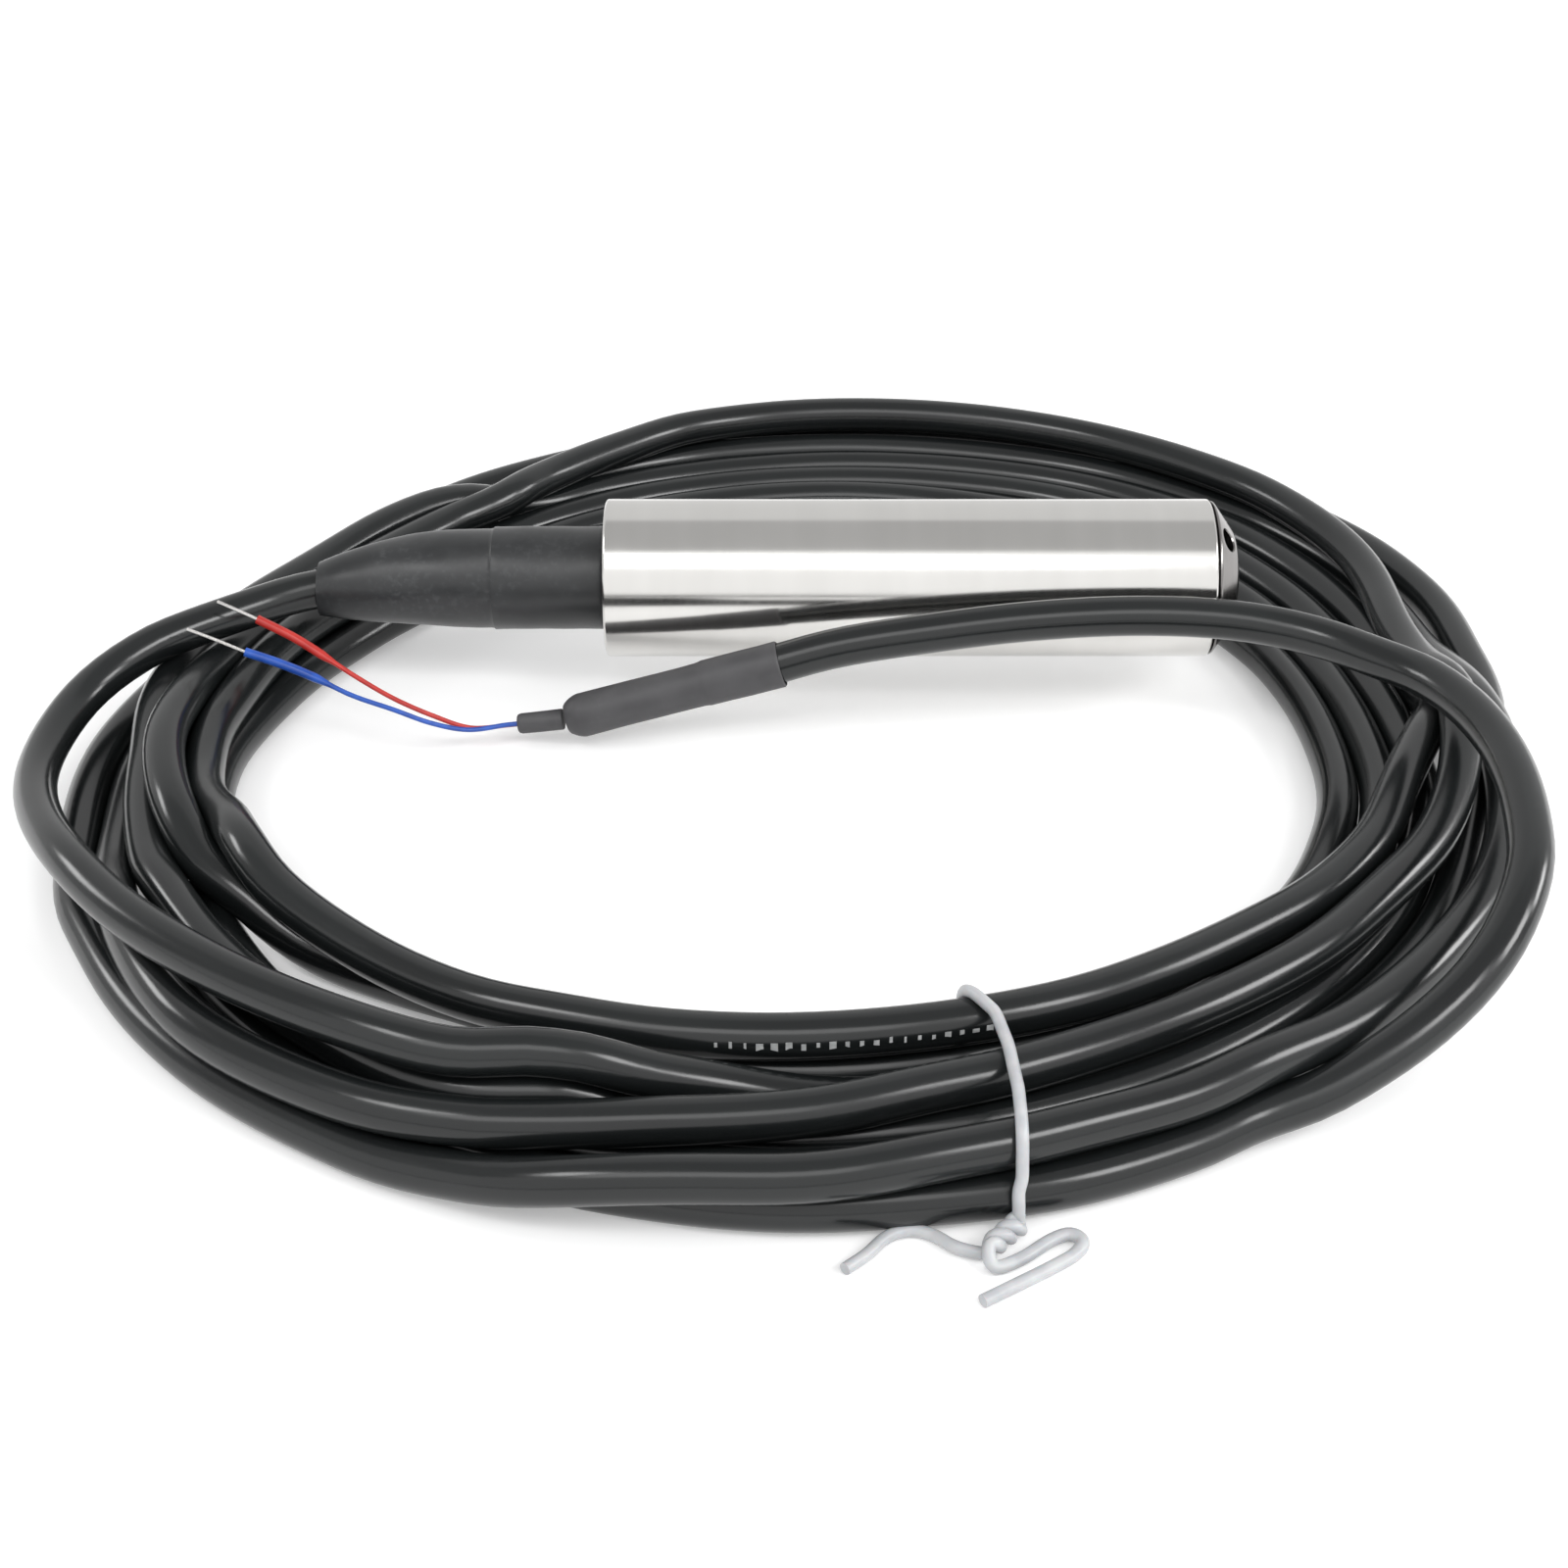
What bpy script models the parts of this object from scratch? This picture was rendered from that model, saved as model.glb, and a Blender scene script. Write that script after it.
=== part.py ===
"""Submersible level transmitter lying on its own coiled cable.

The probe's axis is the X axis. The origin is the centre of the nose's flat tip, and +X points out of it.
Lengths are millimetres here and become metres where a mesh is made.
"""
import math

import bmesh
import bpy
from mathutils import Matrix, Vector

MM = 0.001

# Clearance between pieces that seat on each other
FIT = 0.3

# Housing and nose
BODY_D = 30.0
BODY_WALL = 2.2
BODY_LENGTH = 114.5
BODY_CHAMFER = 0.4
NOSE_CONE = 4.5
NOSE_STEP = 0.3
NOSE_LAND = 5.9
NOSE_TIP_WALL = 2.4
NOSE_SPIGOT = 12.0
NOSE_SPIGOT_WALL = 3.5
NOSE_EDGE = 0.4
PORT_D = 4.4
PORT_COUNT = 4
PORT_FIRST_ANGLE = 116.0

# Pressure cell and what holds it
CARRIER_LENGTH = 21.3
CARRIER_LIP = 2.0
CARRIER_LIP_WIDTH = 1.8
CARRIER_WALL = 2.6
CELL_LENGTH = 10.0
CELL_RIM = 2.2
CELL_RECESS = 0.9
CELL_SEAL_SECTION = 1.8
DIAPHRAGM_THICKNESS = 0.3
DIAPHRAGM_WAVE = 0.12
DIAPHRAGM_RINGS = 7
HEADER_STEP = 0.7
HEADER_THICKNESS = 1.8
PIN_D = 0.8
PIN_LENGTH = 3.4
PIN_CIRCLE_D = 9.0
PIN_COUNT = 4
RETAINER_RIM = 2.6
RETAINER_THICKNESS = 3.4
RETAINER_SLOT = 2.0
VENT_PIPE_D = 1.4
VENT_PIPE_LENGTH = 12.0
VENT_PIPE_RISE = 4.2
SENSOR_LEAD_D = 0.9
UPPER_LEAD_SPREAD = (2.9, 4.6)
LOWER_LEAD_SPREAD = (1.6, 2.4)
UPPER_LEAD_RISE = 1.2
LOWER_LEAD_RISE = -1.4
LEAD_REACH = 0.77

# Electronics
LINER_WALL = 0.8
LINER_CAP_GAP = 2.9
HOLDER_THICKNESS = 3.0
HOLDER_SETBACK = 5.0
HOLDER_WINDOW_RIM = 1.4
HOLDER_WINDOW_SHARE = 0.421
BOARD_WIDTH = 18.0
BOARD_THICKNESS = 1.6
BOARD_HEIGHT = -2.0
AMPLIFIER_SIZE = (6.0, 5.0, 1.8)
AMPLIFIER_SHARE = 0.191
DRIVER_SIZE = (5.0, 4.0, 1.6)
DRIVER_SHARE = 0.362
DRIVER_Y = -3.5
TRIMMER_SIZE = (6.6, 6.6, 4.0)
TRIMMER_SHARE = 0.533
TRIMMER_Y = 4.5
TRIMMER_SCREW_D = 2.2
TRIMMER_SCREW_HEIGHT = 0.8
CAPACITOR_D = 5.2
CAPACITOR_HEIGHT = 5.4
CAPACITOR_Y = 4.4
ARRESTER_D = 4.0
ARRESTER_LENGTH = 6.0
ARRESTER_SHARE = 0.695
TERMINAL_SIZE = (8.0, 12.0, 8.0)
TERMINAL_PITCH = 5.6
TERMINAL_ENTRY_D = 2.4
TERMINAL_ENTRY_DEPTH = 4.0
TERMINAL_OVERHANG = 1.3
TERMINAL_SCREW_D = 3.0
TERMINAL_SCREW_HEIGHT = 1.0

# Rear cap and gland
CAP_SPIGOT = 17.0
CAP_GROOVE_SETBACK = 6.0
CAP_SEAL_SECTION = 1.9
CAP_SEAL_GROOVE_DEPTH = 2.3
CAP_TAIL_D = 16.8
CAP_TAIL_LENGTH = 20.0
CAP_COUNTERBORE_D = 12.8
CAP_COUNTERBORE = 16.0
BUSH_LENGTH = 6.7
WASHER_THICKNESS = 1.2
NUT_THREAD_LENGTH = 7.5
NUT_HEX_FLATS = 14.0
NUT_HEX_THICKNESS = 3.7

# Shrunk sleeve over the gland and the cable
SLEEVE_LENGTH = 54.5
SLEEVE_D = 19.6
SLEEVE_MOUTH_D = 10.4
SLEEVE_STEP = 21.0
SLEEVE_STEP_DEPTH = 0.35
SLEEVE_STEP_RUN = 0.8
SLEEVE_FLARE = 2.1
SLEEVE_DROOP = 1.8
SLEEVE_SWING = 1.0

# Cable and its cores
CABLE_D = 7.4
JACKET_WALL = 1.0
JACKET_SETBACK = 1.0
CORE_LENGTH_INSIDE = 14.0
CORE_D = 1.4
CORE_PLACE = (1.05, -0.9)
VENT_TUBE_D = 1.8
VENT_TUBE_PLACE = (0.0, 1.2)
VENT_TUBE_CLEARANCE = 0.9
TIP_D = 0.6

# Coil, seen from above as an inner and an outer radius every 30 degrees from +X
COIL_CENTRE = (-80.0, -29.0)
COIL_FLOOR = -22.4
COIL_HEIGHT = 14.8
COIL_INNER = (90, 88, 92, 91, 87.5, 90, 99.5, 103, 98, 92, 93.5, 93)
COIL_OUTER = (130.5, 143, 143, 138.5, 133, 122, 129.5, 137, 139, 132, 124, 127)
COIL_SQUARENESS = 3.0
COIL_STATIONS = 56
COIL_SECTION_POINTS = 12

# Cable tie, its lift of the bundle and its twisted knot
TIE_D = 2.0
TIE_ANGLE = 283.5
TIE_NOTCH_ANGLE = 5.0
TIE_NOTCH = 2.5
TIE_LOOP_POINTS = 28
TIE_LOOP_OPENING = 0.085
TIE_TWISTS = 1.5
TIE_TWIST_STEPS = 12
TIE_KNOT_LENGTH = 7.0
TIE_KNOT_DIRECTION = (-0.66, -0.75, 0.0)

# Far end of the cable
BOOT_D = 8.6
BOOT_TIP_D = 5.2
BOOT_LENGTH = 41.5
BOOT_TAPER = 3.4
BOOT_END_WALL = 6.0
BOOT_OVERLAP = (14.0, 16.5)
BOOT_OVERLAP_DEPTH = 0.2
COLLAR_D = 3.9
COLLAR_LENGTH = 7.4

# Hand-chosen routes, as the photograph shows them
ROUTE_SPACING = 10.5
LEAD_IN_ROUTE = [
    (-185.8, -6.2, -3.0), (-193.4, -11.2, -3.5), (-200.5, -16.6, -4.3), (-207.3, -22.4, -5.8),
    (-212.8, -30.0, -7.8), (-215.7, -40.6, -9.2), (-216.2, -51.4, -9.4), (-214.6, -61.6, -8.6),
    (-210.0, -74.6, -6.6), (-200.8, -91.6, -3.6), (-192.2, -102.6, -3.5), (-184.3, -110.6, -3.5),
    (-170.1, -122.2, -3.5), (-153.5, -132.6, -3.5)]
BOOT_RIGHT_END = (-86.0, -23.8, -5.4)
BOOT_DIRECTION = (-41.0, -0.8, -11.6)
COLLAR_DIRECTION = (-7.2, 0.2, -1.0)
LEAD_OUT_ROUTE = [
    (-76.5, -23.0, -2.7), (-58.6, -22.6, 0.4), (-40.6, -21.8, 2.4), (-22.6, -21.2, 3.2),
    (-6.5, -22.2, 3.2), (3.8, -24.6, 2.9), (12.1, -28.8, 2.7), (19.7, -35.2, 2.7),
    (26.2, -44.2, 3.1), (30.6, -54.6, 3.6), (33.2, -66.8, 4.0), (34.2, -79.0, 4.0),
    (33.7, -90.8, 3.5), (31.8, -100.8, 2.4), (28.4, -109.2, 0.4), (24.0, -116.4, -2.4),
    (18.4, -122.4, -5.6), (11.0, -128.0, -9.2), (2.6, -132.6, -12.7), (-5.8, -136.2, -15.6),
    (-15.9, -139.3, -17.6)]
RED_ROUTE = [
    (-143.8, -26.4, -17.6), (-150.6, -27.6, -14.2), (-157.6, -27.4, -10.6), (-164.2, -25.6, -7.2),
    (-169.6, -23.0, -4.8), (-176.3, -19.2, -2.4), (-183.1, -17.0, 0.2)]
RED_TIP_ROUTE = [(-187.0, -15.6, 1.4), (-190.9, -13.6, 2.1)]
BLUE_ROUTE = [
    (-143.6, -29.0, -18.0), (-150.4, -31.0, -15.3), (-157.2, -31.8, -11.7), (-164.4, -30.6, -8.2),
    (-171.5, -28.4, -5.6), (-178.0, -26.4, -3.8), (-184.1, -25.6, -1.9)]
BLUE_TIP_ROUTE = [(-190.4, -24.0, 0.1), (-194.9, -22.6, 1.2)]
TIE_SHORT_TAIL = [
    (-61.2, -163.4, -21.0), (-64.0, -160.7, -21.3), (-67.3, -159.4, -21.3), (-70.9, -160.9, -21.3),
    (-73.8, -164.5, -21.3), (-77.0, -167.5, -21.3)]
TIE_LONG_TAIL = [
    (-56.4, -167.4, -21.0), (-52.4, -165.6, -21.3), (-47.6, -161.6, -21.3), (-44.6, -160.2, -21.3),
    (-43.0, -161.8, -21.3), (-44.4, -164.4, -21.3), (-47.6, -166.9, -21.3), (-52.8, -170.4, -21.3),
    (-58.1, -173.9, -21.3)]

# Facets
FINE = 44
MEDIUM = 32
COARSE = 24
SMALL = 16

# Places along the axis that several pieces share, measured from the nose's tip
BODY_R = BODY_D / 2
BORE_R = BODY_R - BODY_WALL
SEAT_R = BORE_R - FIT
NOSE_BASE_R = BODY_R - NOSE_STEP
NOSE_TIP_R = NOSE_BASE_R - NOSE_LAND
NOSE_CAVITY_R = SEAT_R - NOSE_SPIGOT_WALL
CELL_R = SEAT_R - CARRIER_WALL - FIT
TUBE_FRONT = -(NOSE_CONE + FIT)
TUBE_REAR = TUBE_FRONT - BODY_LENGTH
SPIGOT_END = -(NOSE_CONE + NOSE_SPIGOT)
CARRIER_FRONT = SPIGOT_END - FIT
CARRIER_REAR = CARRIER_FRONT - CARRIER_LENGTH
CELL_SEAL_X = CARRIER_FRONT - CARRIER_LIP - FIT - CELL_SEAL_SECTION / 2
CELL_FRONT = CELL_SEAL_X - CELL_SEAL_SECTION / 2 - FIT
CELL_REAR = CELL_FRONT - CELL_LENGTH
HEADER_FRONT = CELL_REAR - FIT
HEADER_REAR = HEADER_FRONT - HEADER_THICKNESS
PIN_END = HEADER_REAR - PIN_LENGTH
LINER_FRONT = CARRIER_REAR - FIT
LINER_R = SEAT_R - LINER_WALL
HOLDER_R = LINER_R - FIT
WINDOW_HEIGHT = HOLDER_R * HOLDER_WINDOW_SHARE
WINDOW_R = HOLDER_R - HOLDER_WINDOW_RIM - WINDOW_HEIGHT
FRONT_HOLDER_X = LINER_FRONT - HOLDER_SETBACK
BOARD_TOP = BOARD_HEIGHT + BOARD_THICKNESS / 2
PART_BASE = BOARD_TOP + FIT
CAP_FRONT = TUBE_REAR + CAP_SPIGOT
LINER_REAR = CAP_FRONT + LINER_CAP_GAP
REAR_HOLDER_X = LINER_REAR + HOLDER_THICKNESS + FIT
BOARD_START = FRONT_HOLDER_X - HOLDER_THICKNESS
BOARD_RUN = BOARD_START - REAR_HOLDER_X
CAP_SEAL_X = CAP_FRONT - CAP_GROOVE_SETBACK
CAP_TAIL_END = TUBE_REAR - CAP_TAIL_LENGTH
COUNTERBORE_FLOOR = CAP_TAIL_END + CAP_COUNTERBORE
CABLE_R = CABLE_D / 2
CABLE_BORE_R = CABLE_R + FIT
GLAND_R = CAP_COUNTERBORE_D / 2 - FIT
BUSH_FRONT = COUNTERBORE_FLOOR - FIT
WASHER_FRONT = BUSH_FRONT - BUSH_LENGTH - FIT
NUT_FRONT = WASHER_FRONT - WASHER_THICKNESS - FIT
HEX_FRONT = NUT_FRONT - NUT_THREAD_LENGTH
HEX_REAR = HEX_FRONT - NUT_HEX_THICKNESS
SLEEVE_FRONT = TUBE_REAR - FIT
SLEEVE_REAR = SLEEVE_FRONT - SLEEVE_LENGTH
SLEEVE_NECK = HEX_REAR - FIT


def clear_scene():
    """Empties the scene, so that the model starts from nothing."""
    for obj in list(bpy.data.objects):
        bpy.data.objects.remove(obj, do_unlink=True)


clear_scene()
PARTS = bpy.data.collections.new("submersible_level_transmitter")
CUTTERS = bpy.data.collections.new("cutters")
bpy.context.scene.collection.children.link(PARTS)
bpy.context.scene.collection.children.link(CUTTERS)


def make_material(name, color, roughness, metallic=0.0):
    """Returns a Principled material."""
    material = bpy.data.materials.new(name)
    material.use_nodes = True
    shader = material.node_tree.nodes["Principled BSDF"]
    shader.inputs["Base Color"].default_value = (*color, 1.0)
    shader.inputs["Roughness"].default_value = roughness
    shader.inputs["Metallic"].default_value = metallic
    material.diffuse_color = (*color, 1.0)
    return material


BRUSHED_STEEL = make_material("brushed_steel", (0.66, 0.65, 0.63), 0.32, 1.0)
NOSE_STEEL = make_material("nose_steel", (0.42, 0.41, 0.40), 0.28, 1.0)
INNER_STEEL = make_material("inner_steel", (0.58, 0.58, 0.58), 0.35, 1.0)
CABLE_BLACK = make_material("cable_black", (0.020, 0.022, 0.024), 0.34)
SLEEVE_BLACK = make_material("sleeve_black", (0.018, 0.019, 0.020), 0.40)
BOOT_GREY = make_material("boot_grey", (0.045, 0.045, 0.048), 0.62)
SEAL_RUBBER = make_material("seal_rubber", (0.02, 0.02, 0.02), 0.75)
WIRE_RED = make_material("wire_red", (0.55, 0.05, 0.03), 0.42)
WIRE_BLUE = make_material("wire_blue", (0.02, 0.08, 0.42), 0.42)
TINNED = make_material("tinned_copper", (0.75, 0.75, 0.76), 0.30, 1.0)
TIE_WHITE = make_material("tie_white", (0.85, 0.86, 0.87), 0.40)
BOARD_GREEN = make_material("board_green", (0.02, 0.16, 0.06), 0.50)
CHIP_BLACK = make_material("chip_black", (0.03, 0.03, 0.03), 0.60)
TRIMMER_BLUE = make_material("trimmer_blue", (0.03, 0.14, 0.50), 0.45)
BRASS = make_material("brass", (0.78, 0.57, 0.22), 0.30, 1.0)
TERMINAL_GREEN = make_material("terminal_green", (0.05, 0.35, 0.12), 0.50)
CERAMIC = make_material("ceramic", (0.82, 0.80, 0.74), 0.45)
LINER_FILM = make_material("liner_film", (0.80, 0.62, 0.28), 0.40)
NYLON = make_material("nylon", (0.80, 0.80, 0.76), 0.50)
VENT_CLEAR = make_material("vent_clear", (0.80, 0.82, 0.84), 0.30)


def add_object(name, data, material, collection=None):
    """Links an object to its collection and gives it its material."""
    obj = bpy.data.objects.new(name, data)
    (collection or PARTS).objects.link(obj)
    if material is not None:
        data.materials.append(material)
    if collection is CUTTERS:
        obj.hide_render = True
        obj.display_type = "WIRE"
    return obj


def mesh_from(name, build):
    """Returns a new mesh that the function build fills through bmesh."""
    mesh = bpy.data.meshes.new(name)
    work = bmesh.new()
    build(work)
    work.to_mesh(mesh)
    work.free()
    return mesh


def turned(name, profile, material, steps=MEDIUM, closed=True, collection=None):
    """Turns a profile of (x, radius) points round the X axis.

    The points run from the nose side towards the cable along the outside, and a closed profile
    comes back along the inside.
    """
    def build(work):
        points = [work.verts.new((radius * MM, 0.0, x * MM)) for x, radius in profile]
        for first, second in zip(points, points[1:]):
            work.edges.new((first, second))
        if closed:
            work.edges.new((points[-1], points[0]))

    obj = add_object(name, mesh_from(name, build), material, collection)
    obj.rotation_euler = (0.0, math.pi / 2, 0.0)
    screw = obj.modifiers.new("turn", "SCREW")
    screw.axis = "Z"
    screw.angle = 2 * math.pi
    screw.steps = steps
    screw.render_steps = steps
    screw.use_merge_vertices = True
    screw.merge_threshold = 0.00001
    screw.use_smooth_shade = True
    return obj


def washer_profile(front, rear, outer, inner, edge=0.0):
    """Returns the closed profile of a plain ring, with its outer edges broken by edge."""
    if edge == 0.0:
        return [(front, inner), (front, outer), (rear, outer), (rear, inner)]
    return [(front, inner), (front, outer - edge), (front - edge, outer),
            (rear + edge, outer), (rear, outer - edge), (rear, inner)]


def torus_profile(x, radius, section, count=8):
    """Returns the round section of an O-ring."""
    turn = [2 * math.pi * (index + 0.5) / count for index in range(count)]
    return [(x + section / 2 * math.sin(a), radius - section / 2 * math.cos(a)) for a in turn]


def cylinder(name, centre, radius, length, direction, material, steps=SMALL, collection=None):
    """Makes a cylinder about a centre, along a direction."""
    mesh = mesh_from(name, lambda work: bmesh.ops.create_cone(
        work, cap_ends=True, segments=steps, radius1=radius * MM, radius2=radius * MM,
        depth=length * MM))
    obj = add_object(name, mesh, material, collection)
    obj.location = Vector(centre) * MM
    obj.rotation_euler = Vector(direction).to_track_quat("Z", "Y").to_euler()
    return obj


def box(name, centre, size, material, bevel=0.0, collection=None):
    """Makes a box about a centre, with optional small rounded edges."""
    mesh = mesh_from(name, lambda work: bmesh.ops.create_cube(
        work, size=1.0, matrix=Matrix.Diagonal((*(side * MM for side in size), 1.0))))
    obj = add_object(name, mesh, material, collection)
    obj.location = Vector(centre) * MM
    if bevel:
        rounding = obj.modifiers.new("edges", "BEVEL")
        rounding.width = bevel * MM
        rounding.segments = 1
    return obj


def combine(obj, other, operation):
    """Adds a Boolean of another object."""
    step = obj.modifiers.new(operation.lower(), "BOOLEAN")
    step.operation = operation
    step.solver = "EXACT"
    step.object = other


def smooth_route(points, spacing):
    """Returns points about spacing apart on a centripetal Catmull-Rom curve through the route."""
    knots = [Vector(point) for point in points]
    knots = [2 * knots[0] - knots[1]] + knots + [2 * knots[-1] - knots[-2]]
    route = []
    for p0, p1, p2, p3 in zip(knots, knots[1:], knots[2:], knots[3:]):
        t1 = (p1 - p0).length ** 0.5
        t2 = t1 + (p2 - p1).length ** 0.5
        t3 = t2 + (p3 - p2).length ** 0.5
        pieces = max(1, round((p2 - p1).length / spacing))
        for index in range(pieces):
            t = t1 + (t2 - t1) * index / pieces
            a1 = p0.lerp(p1, t / t1)
            a2 = p1.lerp(p2, (t - t1) / (t2 - t1))
            a3 = p2.lerp(p3, (t - t2) / (t3 - t2))
            b1 = a1.lerp(a2, t / t2)
            b2 = a2.lerp(a3, (t - t1) / (t3 - t1))
            route.append(b1.lerp(b2, (t - t1) / (t2 - t1)))
    route.append(knots[-2])
    return route


def tube(name, points, diameter, material, resolution=2):
    """Makes a round cord along points that lie on a smooth route."""
    curve = bpy.data.curves.new(name, "CURVE")
    curve.dimensions = "3D"
    curve.bevel_depth = diameter / 2 * MM
    curve.bevel_resolution = resolution
    curve.use_fill_caps = True
    spline = curve.splines.new("POLY")
    spline.points.add(len(points) - 1)
    for target, point in zip(spline.points, points):
        target.co = (*(Vector(point) * MM), 1.0)
    return add_object(name, curve, material)


def bend_offset(x):
    """Returns how far the sleeve and the cable in it lie from the axis at x."""
    run = max(0.0, (SLEEVE_NECK - x) / (SLEEVE_NECK - SLEEVE_REAR))
    return Vector((0.0, -SLEEVE_SWING, -SLEEVE_DROOP)) * run ** 2


def bend_slope():
    """Returns the bent axis's offset per length at the sleeve's mouth."""
    return 2 * Vector((0.0, -SLEEVE_SWING, -SLEEVE_DROOP)) / (SLEEVE_NECK - SLEEVE_REAR)


def neck_rows(rows=6):
    """Returns the places along the bent stretch, from the gland to the sleeve's mouth."""
    return [SLEEVE_NECK + (SLEEVE_REAR - SLEEVE_NECK) * index / rows for index in range(rows + 1)]


def bend_down(obj):
    """Replaces a turned object by its mesh in place, bent down along the sleeve."""
    depsgraph = bpy.context.evaluated_depsgraph_get()
    mesh = bpy.data.meshes.new_from_object(obj.evaluated_get(depsgraph))
    mesh.transform(obj.matrix_world)
    for vertex in mesh.vertices:
        vertex.co += bend_offset(vertex.co.x / MM) * MM
    name = obj.name
    material = obj.data.materials[0]
    bpy.data.objects.remove(obj, do_unlink=True)
    mesh.materials.clear()
    bent = add_object(name, mesh, material)
    bent.data.shade_smooth()
    return bent


def make_housing():
    """Makes the steel tube with lightly broken outer edges."""
    profile = washer_profile(TUBE_FRONT, TUBE_REAR, BODY_R, BORE_R, BODY_CHAMFER)
    turned("housing_tube", profile, BRUSHED_STEEL, FINE)


def make_nose():
    """Makes the hollow cone nose with its pressure ports and its spigot into the tube."""
    base_r, tip_r, cavity_r = NOSE_BASE_R, NOSE_TIP_R, NOSE_CAVITY_R
    edge = NOSE_EDGE
    slope = (base_r - tip_r) / NOSE_CONE
    profile = [(0.0, 0.0), (0.0, tip_r - edge), (-edge, tip_r + edge * slope),
               (-NOSE_CONE + edge, base_r - edge / 2), (-NOSE_CONE, base_r),
               (-NOSE_CONE, SEAT_R), (SPIGOT_END + edge, SEAT_R), (SPIGOT_END, SEAT_R - edge),
               (SPIGOT_END, cavity_r), (-NOSE_TIP_WALL, cavity_r), (-NOSE_TIP_WALL, 0.0)]
    nose = turned("nose_cap", profile, NOSE_STEEL, FINE, closed=False)
    cone_normal = Vector((base_r - tip_r, NOSE_CONE)).normalized()
    centre_r = (base_r + tip_r) / 2
    depth = (centre_r - cavity_r) / cone_normal.y + PORT_D
    for index in range(PORT_COUNT):
        angle = math.radians(PORT_FIRST_ANGLE + index * 360 / PORT_COUNT)
        radial = Vector((0.0, math.cos(angle), math.sin(angle)))
        direction = radial * cone_normal.y + Vector((cone_normal.x, 0.0, 0.0))
        start = Vector((-NOSE_CONE / 2, 0.0, 0.0)) + radial * centre_r
        middle = start - direction * (depth / 2 - PORT_D / 2)
        drill = cylinder("port_drill_%d" % index, middle, PORT_D / 2, depth + PORT_D, direction,
                         None, SMALL, CUTTERS)
        combine(nose, drill, "DIFFERENCE")


def make_cell():
    """Makes the carrier, seal, pressure cell, diaphragm, header and retainer behind the nose."""
    bore_r = CELL_R + FIT
    lip_r = CELL_R - CARRIER_LIP_WIDTH
    lip_rear = CARRIER_FRONT - CARRIER_LIP
    turned("sensor_carrier", [
        (CARRIER_FRONT, lip_r), (CARRIER_FRONT, SEAT_R), (CARRIER_REAR, SEAT_R),
        (CARRIER_REAR, bore_r), (lip_rear, bore_r), (lip_rear, lip_r)], INNER_STEEL)
    seal_r = CELL_R - CELL_SEAL_SECTION / 2
    turned("cell_o_ring", torus_profile(CELL_SEAL_X, seal_r, CELL_SEAL_SECTION), SEAL_RUBBER, COARSE)
    recess_r = CELL_R - CELL_RIM
    recess_floor = CELL_FRONT - CELL_RECESS
    turned("sensor_cell", [
        (recess_floor, 0.0), (recess_floor, recess_r), (CELL_FRONT, recess_r), (CELL_FRONT, CELL_R),
        (CELL_REAR, CELL_R), (CELL_REAR, 0.0)], INNER_STEEL, closed=False)
    make_diaphragm(recess_floor + FIT, recess_r - FIT)
    make_header(CELL_R - HEADER_STEP)
    retainer = turned("cell_retainer", washer_profile(
        HEADER_REAR - FIT, HEADER_REAR - FIT - RETAINER_THICKNESS, CELL_R, CELL_R - RETAINER_RIM, 0.3),
        BRASS, COARSE)
    slot = box("retainer_slot", (HEADER_REAR - FIT - RETAINER_THICKNESS, 0.0, 0.0),
               (RETAINER_SLOT, CELL_R * 2.4, RETAINER_SLOT), None, 0.0, CUTTERS)
    combine(retainer, slot, "DIFFERENCE")


def make_diaphragm(rear, radius):
    """Makes the thin sensing diaphragm with its ring-shaped waves."""
    front = rear + DIAPHRAGM_THICKNESS

    def wave(index):
        inner = 2 <= index <= DIAPHRAGM_RINGS - 2
        return DIAPHRAGM_WAVE * (1 if index % 2 else -1) if inner else 0.0

    across = [(index, radius * index / DIAPHRAGM_RINGS) for index in range(DIAPHRAGM_RINGS + 1)]
    profile = [(front + wave(index), r) for index, r in across]
    profile += [(rear + wave(index), r) for index, r in reversed(across)]
    turned("sensor_diaphragm", profile, NOSE_STEEL, COARSE, closed=False)


def pin_places():
    """Returns the pins' places across the axis."""
    turn = [math.radians(45 + 360 * index / PIN_COUNT) for index in range(PIN_COUNT)]
    return [(PIN_CIRCLE_D / 2 * math.cos(a), PIN_CIRCLE_D / 2 * math.sin(a)) for a in turn]


def make_header(radius):
    """Makes the glass-sealed header, with its pins, and the vent pipe of the cell."""
    header = turned("cell_header", [
        (HEADER_FRONT, 0.0), (HEADER_FRONT, radius), (HEADER_REAR, radius), (HEADER_REAR, 0.0)],
        CERAMIC, COARSE, closed=False)
    sunk = HEADER_THICKNESS / 2
    for index, (y, z) in enumerate(pin_places()):
        centre = ((HEADER_REAR + sunk + PIN_END) / 2, y, z)
        pin = cylinder("header_pin_%d" % index, centre, PIN_D / 2, PIN_LENGTH + sunk,
                       (1.0, 0.0, 0.0), None, 10, CUTTERS)
        combine(header, pin, "UNION")
    start = HEADER_REAR - FIT
    tube("vent_capillary", smooth_route([
        (start, 0.0, 0.0), (start - VENT_PIPE_LENGTH * 0.4, 0.0, VENT_PIPE_RISE * 0.14),
        (start - VENT_PIPE_LENGTH * 0.7, 0.0, VENT_PIPE_RISE * 0.62),
        (start - VENT_PIPE_LENGTH, 0.0, VENT_PIPE_RISE)], 2.5),
        VENT_PIPE_D, INNER_STEEL)


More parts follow.
